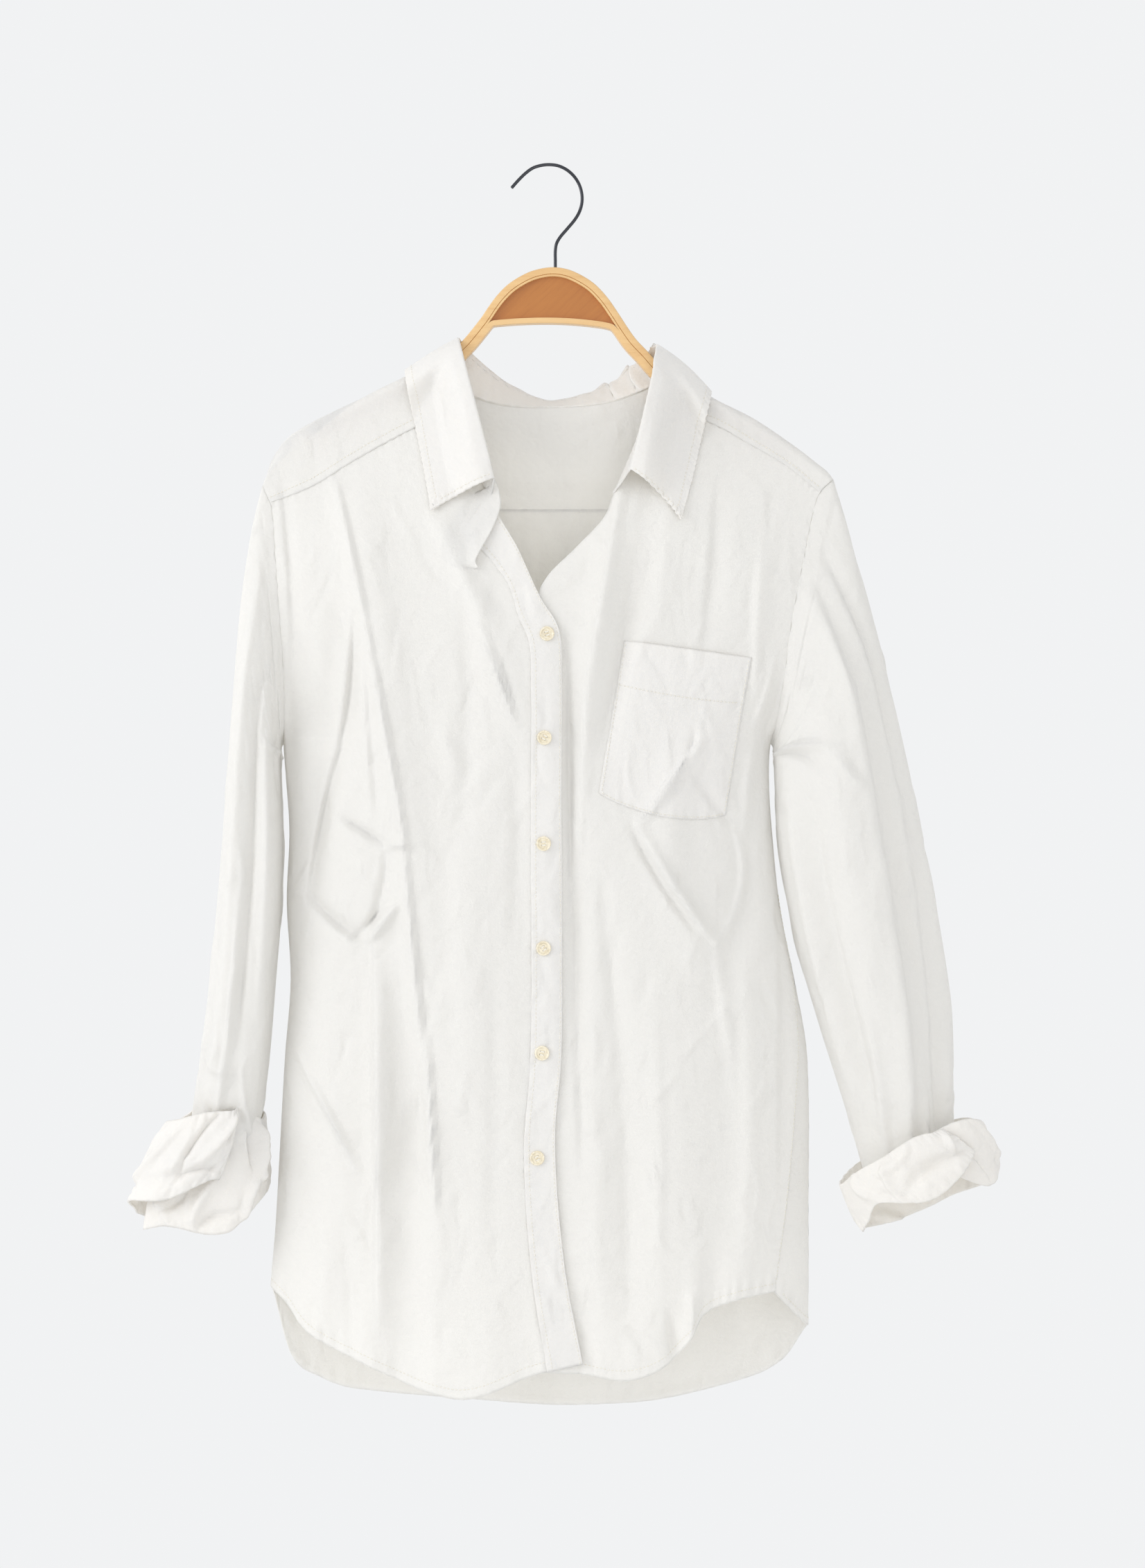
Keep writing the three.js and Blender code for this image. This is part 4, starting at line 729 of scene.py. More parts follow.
# One stitch: its two sunk ends are points 0 and 7, with three points across it at each shoulder.
STITCH_FACES = (
    (0, 2, 1), (0, 3, 2), (1, 2, 5), (1, 5, 4), (2, 3, 6), (2, 6, 5),
    (4, 5, 7), (5, 6, 7), (0, 1, 4), (0, 4, 7), (0, 7, 6), (0, 6, 3),
)


def sew(points, normals):
    """Remembers a line of stitches over a path of points on the cloth."""
    pitch = STITCH["pitch"]
    steps = np.linalg.norm(np.diff(points, axis=0), axis=1)
    way = np.concatenate([[0], np.cumsum(steps)])
    starts = np.arange(int(way[-1] / pitch)) * pitch + pitch * 0.15
    ends = starts + pitch * 0.72

    def read(values, at):
        return np.stack([np.interp(at, way, values[:, k]) for k in range(3)], -1)

    STITCHES.append((read(points, starts), read(points, ends), unit(read(normals, starts))))


def sew_on(grid, normals, where, lift):
    """A line of stitches along part of a sheet's rows or columns, lifted onto its outer side."""
    sew(grid[where] + normals[where] * lift, normals[where])


def add_stitches(name, material):
    """Every stitch as a short, round-backed bar, in one mesh."""
    points, faces = [], []
    for starts, ends, normals in STITCHES:
        side = unit(np.cross(normals, unit(ends - starts)))
        ring = [starts - normals * STITCH["sunk"]]
        for share in (STITCH["shoulder"], 1 - STITCH["shoulder"]):
            for k in (-1, 0, 1):
                high = STITCH["foot"] if k else STITCH["top"]
                ring.append(starts + (ends - starts) * share + side * k * STITCH["half"] + normals * high)
        ring.append(ends - normals * STITCH["sunk"])
        base = sum(len(p) for p in points)
        points.append(np.stack(ring, 1).reshape(-1, 3))
        first = np.arange(len(starts))[:, None, None] * len(ring)
        faces.append((first + np.array(STITCH_FACES) + base).reshape(-1, 3))
    made = add_mesh(name, np.concatenate(points), np.concatenate(faces))
    made.data.materials.append(material)
    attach(made, BODY)
    return made


# ---------------------------------------------------------------- fronts, back and yoke

neck_seam = path_through(COLLAR, ("x", "down"))


def neck_edge(share):
    at = neck_seam(share)
    x, down = at[..., 0], at[..., 1]
    sideways = np.clip(np.abs(x) / NECK_SIDE_X, 0, 1)
    return np.stack(
        [
            x + np.sign(x - NECK_CENTRE_X) * SEAM_CLEARANCE * sideways,
            down + np.sign(down) * SEAM_CLEARANCE * (1 - sideways / 2),
        ],
        -1,
    )


def to_level(x_down):
    x, down = x_down[..., 0], x_down[..., 1]
    return np.stack([x, ridge(x) - drop_of(np.abs(down))], -1)


NECK_SHARE = 0.13
YOKE_TUCK = 2.4
EDGE_BLEND = 1 / 12


# The fronts' hems are drawn up by this share towards this level, from a drop below it on.
HEM_LEVEL = -481
HEM_LIFT = 0.018
HEM_LIFT_DROP = 390
HEM_LIFT_BLEND = 40


def hem_path(side):
    """The front's hem, drawn up a little where the hanging front swings out."""
    rows = dict(FRONT_HEM[side])
    drop = HEM_LEVEL - rows["z"] - HEM_LIFT_DROP
    rows["z"] = mix(rows["z"], HEM_LEVEL, HEM_LIFT * ease(drop / HEM_LIFT_BLEND))
    return path_through(rows, ("x", "z"))


def front_patch(side):
    """A front between its yoke seam, its edge and neck, its side and its hem, in x and z."""
    left = side == "left"
    seam_start, seam_end = (0, NECK["left"] - 0.001) if left else (1, NECK["right"] + 0.001)

    def neck(t):
        return to_level(neck_edge(mix(seam_end, seam_start, t)))

    edge = path_through(FRONT_EDGE[side], ("x", "z"))
    hem = hem_path(side)
    top_path = path_through(YOKE_SEAM[side], ("x", "z"))
    one, zero = np.array(1.0), np.array(0.0)
    shift = neck(one) - edge(zero)

    def inner(t):
        t = np.asarray(t, dtype=float)
        below = np.clip((t - NECK_SHARE) / (1 - NECK_SHARE), 0, 1)
        blended = edge(below) + shift * np.maximum(0, 1 - below / EDGE_BLEND)[..., None]
        return np.where((t < NECK_SHARE)[..., None], neck(np.clip(t / NECK_SHARE, 0, 1)), blended)

    def top(t):
        return top_path(t) + np.array([0, YOKE_TUCK])

    out = -1 if left else 1
    z_ends = (top(one)[1], hem(zero if left else one)[1])

    def outer(t):
        z = mix(z_ends[0], z_ends[1], np.asarray(t, dtype=float))
        inset = 0.05 if left else seam_inset(z) - 0.6 * ease((-600 - z) / 60)
        return np.stack([level[side](z) - out * inset, z], -1)

    yoke_edge = pinned(top, inner(zero), outer(zero))
    hem_edge = pinned((lambda s: hem(1 - s)) if left else hem, inner(one), outer(one))
    return patch(yoke_edge, hem_edge, inner, outer)


def crowd_to_side(u):
    return np.sin(np.pi / 2 * u)


def front_out(side, xz):
    if side == "left":
        return 0.0
    x, z = xz[..., 0], xz[..., 1]
    below = ease((OVERLAP_TOP - z) / 30)
    return -OVERLAP_STEP * ease((OVERLAP_END - x) / OVERLAP_BLEND) * below


HEM_WIDTH = 7
FRONT_CELLS = (124, 296)


def hemmed_thickness(to_hem):
    """One layer of cloth, and nearly two within the turned hem."""
    return look().thickness / MM * (1 + 0.9 * ease((HEM_WIDTH - to_hem) / 1.2))


def add_front(side, name, material):
    at = front_patch(side)
    s, t = grid_shares(*FRONT_CELLS, crowd_to_side)
    xz = at(s, t)
    to_hem = (1 - t) * FRONT_LENGTH
    to_side = (1 - s) * FRONT_GIRTH
    ripple = pucker(s * FRONT_GIRTH + 40, to_hem - HEM_WIDTH, 0.7, 9.5, 8)
    ripple += pucker(t * FRONT_LENGTH, to_side, 0.4, 11, 6)
    ripple += pucker(s * FRONT_GIRTH, t * FRONT_LENGTH, 0.4, 9, 6)
    wave = 2.2 * np.sin(s * 23 + 1.3 * np.sin(s * 9)) * np.exp(-((to_hem / 46) ** 2)) * ease(s * 6)
    grid = body_points(xz, "front", front_out(side, xz) + ripple + wave)
    made = add_shell(f"{name}_cloth", grid, hemmed_thickness(to_hem))
    normals = front_normals(grid)
    hem_row = int(round((1 - HEM_WIDTH / FRONT_LENGTH) * FRONT_CELLS[1]))
    sew_on(grid, normals, np.s_[2:-2, hem_row], 0.3)
    if side == "right":
        sew_on(grid, normals, np.s_[-4, 150:-2], 0.3)
    finish_piece(made, name, material)
    return at


BACK_GIRTH = 470
BACK_LENGTH = 690
BACK_CELLS = (160, 224)
# The back's right edge comes round to the front below this level, with its own hem there.
WRAP_START = -590
WRAP_STEP = 2
WRAP_HEM = {"fromX": 173, "toX": 201, "fromZ": -873, "toZ": -903}


def add_back(material):
    hem = curve_of(BACK_HEM, "x", "z")

    def turn_at(z):
        half = (level["right"](z) - level["left"](z)) / 2
        inset = np.maximum(0, seam_inset(z))
        return np.arccos(np.clip(1 - inset / half, -1, 1))

    def place(u, z):
        wrap = turn_at(z) * ease((WRAP_START - z) / 20)
        phi = mix(-np.pi / 2, np.pi / 2 + wrap, u)
        left, right = level["left"](z), level["right"](z)
        return (left + right) / 2 + (right - left) / 2 * np.sin(phi), phi > np.pi / 2

    u, t = grid_shares(*BACK_CELLS)
    top = BACK_YOKE_SEAM + YOKE_TUCK
    z = mix(top, -960.0, t)
    for _ in range(4):
        x, front = place(u, z)
        share = np.clip((x - WRAP_HEM["fromX"]) / (WRAP_HEM["toX"] - WRAP_HEM["fromX"]), 0, 1)
        low = np.where(front, mix(WRAP_HEM["fromZ"], WRAP_HEM["toZ"], share), hem(x))
        z = mix(top, low, t)
    x, front = place(u, z)
    xz = np.stack([x, z], -1)
    to_hem = (1 - t) * BACK_LENGTH
    ripple = pucker(u * BACK_GIRTH, to_hem - HEM_WIDTH, 0.7, 9.5, 8)
    ripple += pucker(u * 430, t * BACK_LENGTH, 0.5, 10, 6)
    wave = 2.6 * np.sin(u * 31 + 1.6 * np.sin(u * 12)) * np.exp(-((to_hem / 50) ** 2))
    out = ripple + wave * np.sin(np.pi * np.clip(u * 1.02, 0, 1)) ** 0.5
    on_front, on_back = body_points(xz, "front", out - WRAP_STEP), body_points(xz, "back", out)
    grid = np.where(front[..., None], on_front, on_back)
    made = add_shell("back_cloth", grid, hemmed_thickness(to_hem))
    normals = sheet_normals(grid, False)
    normals *= np.sign(normals[40:120, 100:200, 1].mean())
    row = int(round((1 - HEM_WIDTH / BACK_LENGTH) * BACK_CELLS[1]))
    sew_on(grid, normals, np.s_[2:-2, row], 0.5)
    finish_piece(made, "back", material)


# How the yoke's grid is shared out: each shoulder's part, and how it crowds to ridge and armhole.
YOKE_GRID = {"shoulder": 0.3, "ridge": 1.5, "tip": 1.3}
YOKE_CELLS = (300, 56)
YOKE_AROUND = 700


def add_yoke(material):
    def inner(s):
        s = np.asarray(s, dtype=float)
        left = mix(NECK["left"], NECK["leftRidge"], s / SIDE_SHARE)
        right = mix(NECK["right"], NECK["rightRidge"], (1 - s) / SIDE_SHARE)
        amid = mix(NECK["leftRidge"], NECK["rightRidge"], (s - SIDE_SHARE) / (1 - 2 * SIDE_SHARE))
        return neck_edge(np.where(s < SIDE_SHARE, left, np.where(s > 1 - SIDE_SHARE, right, amid)))

    def front_seam(side):
        path = path_through(YOKE_SEAM[side], ("x", "z"))

        def read(t):
            at = path(t)
            return np.stack([at[..., 0], -way_down(ridge(at[..., 0]) - at[..., 1])], -1)

        return read

    def armhole(side):
        def read(v):
            ends = np.where(v < 0, YOKE_SEAM[side]["z"][-1], BACK_YOKE_SEAM)
            z = mix(SHOULDER_TIP[side], ends, v * v)
            x = level[side](z)
            down = way_down(ridge(x) - z)
            return np.stack([x, np.where(v < 0, -down, down)], -1)

        return read

    arm_left, arm_right = armhole("left"), armhole("right")
    one, zero = np.array(1.0), np.array(0.0)
    back_start, back_end = arm_left(one), arm_right(one)

    def outer(s):
        s = np.asarray(s, dtype=float)
        x = mix(back_start[0], back_end[0], (s - 2 * SIDE_SHARE) / (1 - 4 * SIDE_SHARE))
        along_back = np.stack([x, way_down(ridge(x) - BACK_YOKE_SEAM)], -1)
        left = arm_left(np.clip(s / SIDE_SHARE - 1, -1, 1))
        right = arm_right(np.clip((1 - s) / SIDE_SHARE - 1, -1, 1))
        mid = np.where((s > 1 - 2 * SIDE_SHARE)[..., None], right, along_back)
        return np.where((s < 2 * SIDE_SHARE)[..., None], left, mid)

    left_end = pinned(front_seam("left"), inner(zero), outer(zero))
    right_end = pinned(front_seam("right"), inner(one), outer(one))
    at = patch(inner, outer, left_end, right_end)
    shoulder = YOKE_GRID["shoulder"]

    def crowd(v):
        return np.sign(v) * np.abs(v) ** YOKE_GRID["ridge"]

    def over_shoulder(u):
        return SIDE_SHARE * (1 + crowd(2 * u / shoulder - 1))

    def share_at(u):
        amid = mix(2 * SIDE_SHARE, 1 - 2 * SIDE_SHARE, (u - shoulder) / (1 - 2 * shoulder))
        ends = np.where(u > 1 - shoulder, 1 - over_shoulder(1 - u), amid)
        return np.where(u < shoulder, over_shoulder(u), ends)

    u, t = grid_shares(*YOKE_CELLS)
    s = share_at(u)
    where = at(s, 1 - (1 - t) ** YOKE_GRID["tip"])
    on_side = np.minimum(s, 1 - s) * YOKE_AROUND
    amid = ease((np.minimum(s, 1 - s) - 2 * SIDE_SHARE) / 0.03)
    ripple = pucker(t * 150, on_side, 0.22, 9, 7) + pucker(s * 560, (1 - t) * 90, 0.3, 10, 6) * amid
    grid = cloth_points(where, 0.5 + ripple)
    made = add_shell("yoke_cloth", grid, look().thickness / MM)
    normals = sheet_normals(grid, False)
    normals = normals * np.sign(-normals[..., 1:2])
    for column in (4, YOKE_CELLS[0] - 4):
        sew_on(grid, normals, np.s_[column, :], 0.4)
    finish_piece(made, "yoke", material)


# ---------------------------------------------------------------- collar

NECK_LINE = by_row(COLLAR, ("x", "down"))
FOLD_LINE = by_row(COLLAR, ("foldX", "foldY", "foldZ"))
EDGE_LINE = by_row(COLLAR, ("edgeX", "edgeY", "edgeZ"))
STAND_TOP = 0.97
STAND_LENGTH = 470
STAND_HEIGHT = 28
STAND_CELLS = (300, 24)
COLLAR_BULGE = 3.4
LEAF_LIFT = 1.7
LEAF_LENGTH = 560
LEAF_CELLS = (330, 64)
# Share of the leaf's rows that go over the fold, and how far it sinks into the stand there.
LEAF_LIP = 0.07
LEAF_SINK = 0.13
# Crumples of the stand at the back of the neck: share of its length, width, and way out and up.
STAND_CRUMPLES = table(
    "share width out up",
    (0.30, 0.016, 2.5, 1.5), (0.345, 0.012, -2, 0), (0.40, 0.014, 1.6, 0.8), (0.45, 0.012, -1.4, 0.4),
    (0.50, 0.012, 1.6, -0.8), (0.542, 0.010, -2.4, 0.6), (0.566, 0.008, 4.4, 5), (0.584, 0.007, -4.6, 1),
    (0.602, 0.007, 5.4, 9), (0.619, 0.006, -5.4, 2), (0.636, 0.007, 6, 10), (0.655, 0.007, -5.4, 3),
    (0.672, 0.007, 5, 7), (0.690, 0.008, -4.4, 1), (0.71, 0.009, 3.2, 2), (0.76, 0.014, -1.6, 0),
)

# The stand's buttonhole end, hanging over the front: its free edge, where it sinks in, and its lift.
STAND_END = table(
    "foldX foldZ neckX neckZ lift",
    (-42, -246.5, -60, -249, 4), (-39.4, -253, -64, -259, 5), (-37.3, -263, -70, -271, 4.6),
    (-38.2, -270.5, -78, -283, 4.4), (-41.5, -280, -82, -294, 4.6), (-46, -289.3, -83, -303, 5),
    (-52.2, -300.2, -79, -311, 5.4), (-56.6, -309.6, -70, -315, 5), (-54.8, -315, -58, -316.5, 3.5),
)
STAND_END_ROWS = 46
STAND_END_SINK = -0.9
STAND_END_JOIN = 0.12


def crumple(share):
    out, up = np.zeros(share.shape), np.zeros(share.shape)
    for i in range(len(STAND_CRUMPLES["share"])):
        near = np.exp(-(((share - STAND_CRUMPLES["share"][i]) / STAND_CRUMPLES["width"][i]) ** 2))
        out += STAND_CRUMPLES["out"][i] * near
        up += STAND_CRUMPLES["up"][i] * near
    return out, up


def outward_of(points):
    flat = points - np.array([NECK_CENTRE_X, 0, 0])
    flat[..., 2] = 0
    return unit(flat)


def add_stand(material, one_layer):
    s, t = grid_shares(*STAND_CELLS)
    neck, fold = cloth_points(NECK_LINE(s)), FOLD_LINE(s)
    grid = mix(neck, fold, mix(0.02, STAND_TOP, t)[..., None])
    out, up = crumple(s)
    hump = np.sin(np.pi * np.clip(t * 0.9, 0, 1)) ** 0.8
    ripple = pucker(s * STAND_LENGTH, (1 - t) * STAND_HEIGHT - 3, 0.7, 6.5, 7)
    ripple += pucker(s * STAND_LENGTH, t * STAND_HEIGHT - 2, 0.8, 6, 6)
    grid = grid + outward_of(grid) * (out * hump + ripple)[..., None]
    grid[..., 2] += up * t
    v, w = grid_shares(STAND_END_ROWS - 1, STAND_CELLS[1])
    turned = by_row(STAND_END, tuple(STAND_END))(v)
    x, z = mix(turned[..., 2], turned[..., 0], w), mix(turned[..., 3], turned[..., 1], w)
    lift = mix(STAND_END_SINK, turned[..., 4], ease(w) ** 1.3)
    tongue = np.stack([x, -(depth_at(x, z, "front") + lift), z], -1)
    joined = mix(grid[:1], tongue, ease(v / STAND_END_JOIN)[..., None])
    grid = np.concatenate([joined[:0:-1], grid])
    made = add_shell("collar_stand_cloth", grid, look().collar_thickness / MM)
    finish_piece(made, "collar_stand", material)
    made.data.materials.append(one_layer)
    for face in made.data.polygons:
        face.material_index = int(face.center.z < STAND_END["foldZ"][0] * MM)


def add_leaf(material):
    s, t = grid_shares(*LEAF_CELLS)
    neck, fold, edge = cloth_points(NECK_LINE(s)), FOLD_LINE(s), EDGE_LINE(s)
    down = np.clip((t - LEAF_LIP) / (1 - LEAF_LIP), 0, 1)
    inside = mix(fold, neck, LEAF_SINK)
    out, up = crumple(s)
    roll = mix(inside, fold, np.clip(t / LEAF_LIP, 0, 1)[..., None])
    point = np.where((t < LEAF_LIP)[..., None], roll, mix(fold, edge, down[..., None]))
    outward = outward_of(point)
    bulge = COLLAR_BULGE * np.sin(np.pi * down**0.75)
    length = np.linalg.norm(edge - fold, axis=-1)
    to_edge = (1 - down) * length
    to_end = np.minimum(s, 1 - s) * LEAF_LENGTH
    ripple = pucker(s * LEAF_LENGTH, to_edge - 4, 0.5, 5.5, 5)
    ripple += pucker(down * length, to_end - 4, 0.5, 5.5, 5)
    soft = 1.8 * np.sin(s * 19 + 0.8) * np.sin(np.pi * down) + out * 0.5 * (1 - down) ** 2
    curl = 2.2 * np.exp(-((to_end / 16) ** 2)) * np.exp(-((to_edge / 18) ** 2))
    grid = point + outward * (bulge + soft)[..., None]
    grid[..., 2] += up * (1 - down) ** 2
    x, z = grid[..., 0], grid[..., 2]
    front = ease((-16 - grid[..., 1]) / 10) * ease((down - 0.12) / 0.5)
    lying = -(depth_at(x, z, "front") + LEAF_LIFT + 3.5 * (1 - down) ** 2)
    grid[..., 1] = mix(grid[..., 1], lying, front) - curl
    grid = grid + outward * (ripple * 1.5)[..., None]
    made = add_shell("collar_cloth", grid, look().collar_thickness / MM)
    normals = sheet_normals(grid, False)
    normals *= np.sign((normals * outward).sum(-1).mean())
    row = int(round(LEAF_CELLS[1] * (LEAF_LIP + (1 - LEAF_LIP) * 0.87)))
    sew_on(grid, normals, np.s_[5:-5, row], 0.65)
    for column in (3, LEAF_CELLS[0] - 3):
        sew_on(grid, normals, np.s_[column, 6:row], 0.65)
    finish_piece(made, "collar", material)


# ---------------------------------------------------------------- sleeves and cuffs

SLEEVE_POWER = 0.85
SLEEVE_GIRTH = 290
SLEEVE_LENGTH = 520
SLEEVE_SHOWN = {"left": 0.985, "right": 0.965}
SLEEVE_CELLS = (112, 206)


def sleeve_grid(side):
    rows = SLEEVES[side]
    columns, steps = SLEEVE_CELLS
    count = len(rows["outX"])
    keyed = {**rows, "way": np.arange(count, dtype=float)}
    ways = np.linspace(0, (count - 1) * SLEEVE_SHOWN[side], steps + 1)
    theta, way = np.meshgrid(2 * np.pi * np.arange(columns) / columns, ways, indexing="ij")
    row = {c: curve_of(keyed, "way", c)(way) for c in rows}

    def ellipse(r):
        c, s = np.cos(theta), np.sin(theta)
        round_s = np.sign(s) * np.abs(s) ** SLEEVE_POWER
        return np.stack(
            [
                mix(r["inX"], r["outX"], (1 + c) / 2),
                r["y"] - r["depth"] * round_s,
                mix(r["inZ"], r["outZ"], (1 + c) / 2),
            ],
            -1,
        )

    first = {c: rows[c][0] for c in rows}
    z = mix(SHOULDER_TIP[side], UNDERARM, (1 - np.cos(theta)) / 2)
    xz = np.stack([level[side](z), z], -1)
    front, back = body_points(xz, "front"), body_points(xz, "back")
    seam = np.where((np.sin(theta) >= 0)[..., None], front, back)
    seam[..., 0] += (-1 if side == "left" else 1) * 0.1
    hold = np.maximum(0, row["hold"])[..., None]
    point = ellipse(row) + (seam - ellipse(first)) * hold
    turn, share = np.degrees(theta), way / (count - 1)
    rise = np.zeros(theta.shape)
    folds = SLEEVE_FOLDS[side]
    for i in range(len(folds["turn"])):
        wave = np.clip((share - folds["from"][i]) / (folds["to"][i] - folds["from"][i]), 0, 1)
        off = (turn - folds["turn"][i]) / folds["width"][i]
        rise += folds["rise"][i] * np.sin(np.pi * wave) * np.exp(-(off**2))
    a, d = turn / 360 * SLEEVE_GIRTH, -share * SLEEVE_LENGTH
    creases = dict(SLEEVE_CREASES[side])
    for k in ("1", "2", "3"):
        creases["x" + k] = creases["turn" + k] / 360 * SLEEVE_GIRTH
        creases["z" + k] = -creases["way" + k] * SLEEVE_LENGTH
    fine = main_creases(a, d, creases) + small_creases(a, d, RUMPLES["sleeve"])
    rise += fine * ease(share / 0.08)
    rise += pucker(a, share * SLEEVE_LENGTH - 3, 0.5, 9, 7)
    centre = np.stack([(row["outX"] + row["inX"]) / 2, row["y"], point[..., 2]], -1)
    outward = point - centre
    outward[..., 2] = 0
    return point + unit(outward) * rise[..., None]


def add_sleeve(side, material):
    made = add_shell(f"sleeve_{side}_cloth", sleeve_grid(side), look().thickness / MM, closed=True)
    finish_piece(made, f"sleeve_{side}", material)


CUFF_BULGE = {"left": 4.5, "right": 2.5}
CUFF_HEIGHT = {"left": 74, "right": 44}
CUFF_STRIP = {"left": 440, "right": 400}
CUFF_RUMPLE_SHARE = 1.5
CUFF_CELLS = (300, 34)
CUFF_CREASES = {
    "left": table(
        "x1 z1 x2 z2 x3 z3 left right rise",
        (40, -4, 62, -20, 78, -52, 3, 6, 3.2), (70, -2, 96, -22, 100, -66, 4, 3, -3.4),
        (52, -66, 84, -48, 128, -58, 3, 5, -3), (110, -8, 124, -34, 150, -60, 4, 3, 3),
        (140, -66, 152, -42, 176, -30, 3, 5, -3.4), (322, -2, 336, -30, 330, -52, 3, 5, 6),
        (330, -50, 350, -44, 344, -74, 2.6, 4, 5), (338, -4, 346, -24, 338, -40, 4, 3, -5),
        (352, -66, 372, -56, 392, -70, 3, 3, -3.4), (380, -40, 396, -58, 392, -73, 3, 4, 3.2),
        (400, -48, 412, -60, 428, -64, 2.6, 3, -3), (412, -72, 420, -56, 436, -44, 3, 3, 3.2),
        (300, -8, 312, -30, 306, -60, 4, 6, -3), (200, -10, 230, -40, 220, -70, 5, 7, 2.6),
        (260, -6, 250, -40, 270, -68, 6, 5, -2.6),
    ),
    "right": table(
        "x1 z1 x2 z2 x3 z3 left right rise",
        (52, -34, 86, -18, 116, -30, 4, 7, -4.4), (40, -2, 58, -14, 62, -30, 3, 4, 2.6),
        (120, -4, 132, -22, 128, -42, 4, 3, 2.6), (92, -2, 104, -12, 140, -14, 3, 5, 2),
        (150, -40, 160, -20, 158, -2, 3, 3, 3), (210, -6, 226, -24, 220, -42, 5, 7, 2.4),
        (270, -6, 262, -24, 276, -42, 6, 4, -2.6), (330, -40, 338, -20, 352, -4, 3, 4, 2.6),
        (360, -38, 372, -24, 388, -8, 3, 3, -2.4),
    ),
}


def add_cuff(side, material):
    s, t = grid_shares(*CUFF_CELLS)
    stations = CUFFS[side]
    top = by_row(stations, ("topX", "topY", "topZ"))(s)
    foot = by_row(stations, ("footX", "footY", "footZ"))(s)
    grid = mix(top, foot, t[..., None])
    centre = mix(top.mean((0, 1)), foot.mean((0, 1)), t[..., None])
    outward = grid - centre
    outward[..., 2] = 0
    outward = unit(outward)
    along, down = s * CUFF_STRIP[side], t * CUFF_HEIGHT[side]
    rise = CUFF_BULGE[side] * np.sin(np.pi * t) ** 0.8
    rise += main_creases(along, -down, CUFF_CREASES[side])
    rise += small_creases(along, -down, CUFF_RUMPLES[side]) * CUFF_RUMPLE_SHARE
    rise += pucker(along, down - 3, 0.5, 7, 4) + pucker(along, CUFF_HEIGHT[side] - down - 3, 0.5, 7, 4)
    grid = grid + outward * rise[..., None]
    grid[..., 2] += 1.2 * np.sin(along / 11 + 2 * t) * (1 - np.sin(np.pi * t))
    made = add_shell(f"cuff_{side}_cloth", grid, look().collar_thickness / MM)
    finish_piece(made, f"cuff_{side}", material)


# ---------------------------------------------------------------- placket, pocket and buttons


# Shares of the front's length between which its edge stands open as a lapel.
LAPEL_TOP = 0.118
LAPEL_END = 0.27
PLACKET_CELLS = (20, 320)
PLACKET_LAYERS = 1.9
POCKET_CELLS = (56, 70)
POCKET_WIDTH = 100
POCKET_LENGTH = 122
POCKET_HEM = 35


def add_placket(at, material):
    s, t = grid_shares(*PLACKET_CELLS)
    down = mix(LAPEL_TOP, 0.9995, t)
    open_neck = ease((LAPEL_END - down) / (LAPEL_END - LAPEL_TOP))
    along = down * FRONT_LENGTH
    width = PLACKET_WIDTH - 7 * np.sin(np.pi * open_neck) + 3 * open_neck * np.sin(along / 9)
    across = mix(-0.004, width / FRONT_GIRTH, s)
    xz = at(across, down)
    xz[..., 1] -= 22 * open_neck**2 * s
    to_edge = (1 - s) * PLACKET_WIDTH
    ripple = pucker(along, s * PLACKET_WIDTH - 2, 0.3, 8, 4) + pucker(along + 90, to_edge - 2, 0.35, 8.5, 5)
    crumpled = crease_rise(to_edge, -along, PLACKET_RUMPLES) * ease((down - 0.5) / 0.2)
    turned = open_neck * (1.4 - 2.1 * s + 0.5 * np.sin(along / 6.5) * s)
    grid = body_points(xz, "front", 0.9 + ripple + crumpled + turned)
    made = add_shell("placket_cloth", grid, look().thickness / MM * PLACKET_LAYERS)
    normals = front_normals(grid)
    for column in (2, PLACKET_CELLS[0] - 3):
        sew_on(grid, normals, np.s_[column, 2:], 0.55)
    finish_piece(made, "placket", material)


def add_pocket(material):
    top_left, top_right, bottom_left, bottom_right = np.array(POCKET_CORNERS, dtype=float)
    s, t = grid_shares(*POCKET_CELLS)
    u, v = s[..., None], t[..., None]
    xz = mix(mix(top_left, top_right, u), mix(bottom_left, bottom_right, u), v)
    xz[..., 1] -= 10 * np.sin(np.pi * s) ** 0.7 * t
    across, down = s * POCKET_WIDTH, t * POCKET_LENGTH
    to_side = np.minimum(across, POCKET_WIDTH - across)
    to_edge = np.minimum(to_side, POCKET_LENGTH - down)
    ripple = pucker(down, to_side - 2, 0.45, 8, 5) + pucker(across, POCKET_LENGTH - down - 2, 0.45, 8, 5)
    ripple += pucker(across, down - POCKET_HEM, 0.25, 8.5, 5)
    gape = 1.2 * np.sin(np.pi * s) * np.exp(-((down / 14) ** 2))
    puff = 0.4 * ease(to_edge / 14)
    grid = body_points(xz, "front", 0.6 + ripple * 0.8 + gape + puff)
    thick = look().thickness / MM * (1 + 0.8 * ease((POCKET_HEM - down) / 1.5))
    made = add_shell("pocket_cloth", grid, thick)
    normals = front_normals(grid)
    for where in (np.s_[1, 1:-1], np.s_[-2, 1:-1], np.s_[1:-1, -2], np.s_[1:-1, 20]):
        sew_on(grid, normals, where, 0.5)
    finish_piece(made, "pocket", material)


# ---------------------------------------------------------------- hard pieces, modelled by operators


THREAD_RADIUS = 0.2 * MM
THREAD_GAP = 0.32 * MM
BUTTON_TURNS = (17, -31, 8, 40, -12, 25)  # degrees, from the top down
BUTTON_REACH = 5.0  # how far round a button the slope of the cloth is taken
HOOK_STEPS = 150


def deselect_all():
    for o in bpy.context.selected_objects:
        o.select_set(False)


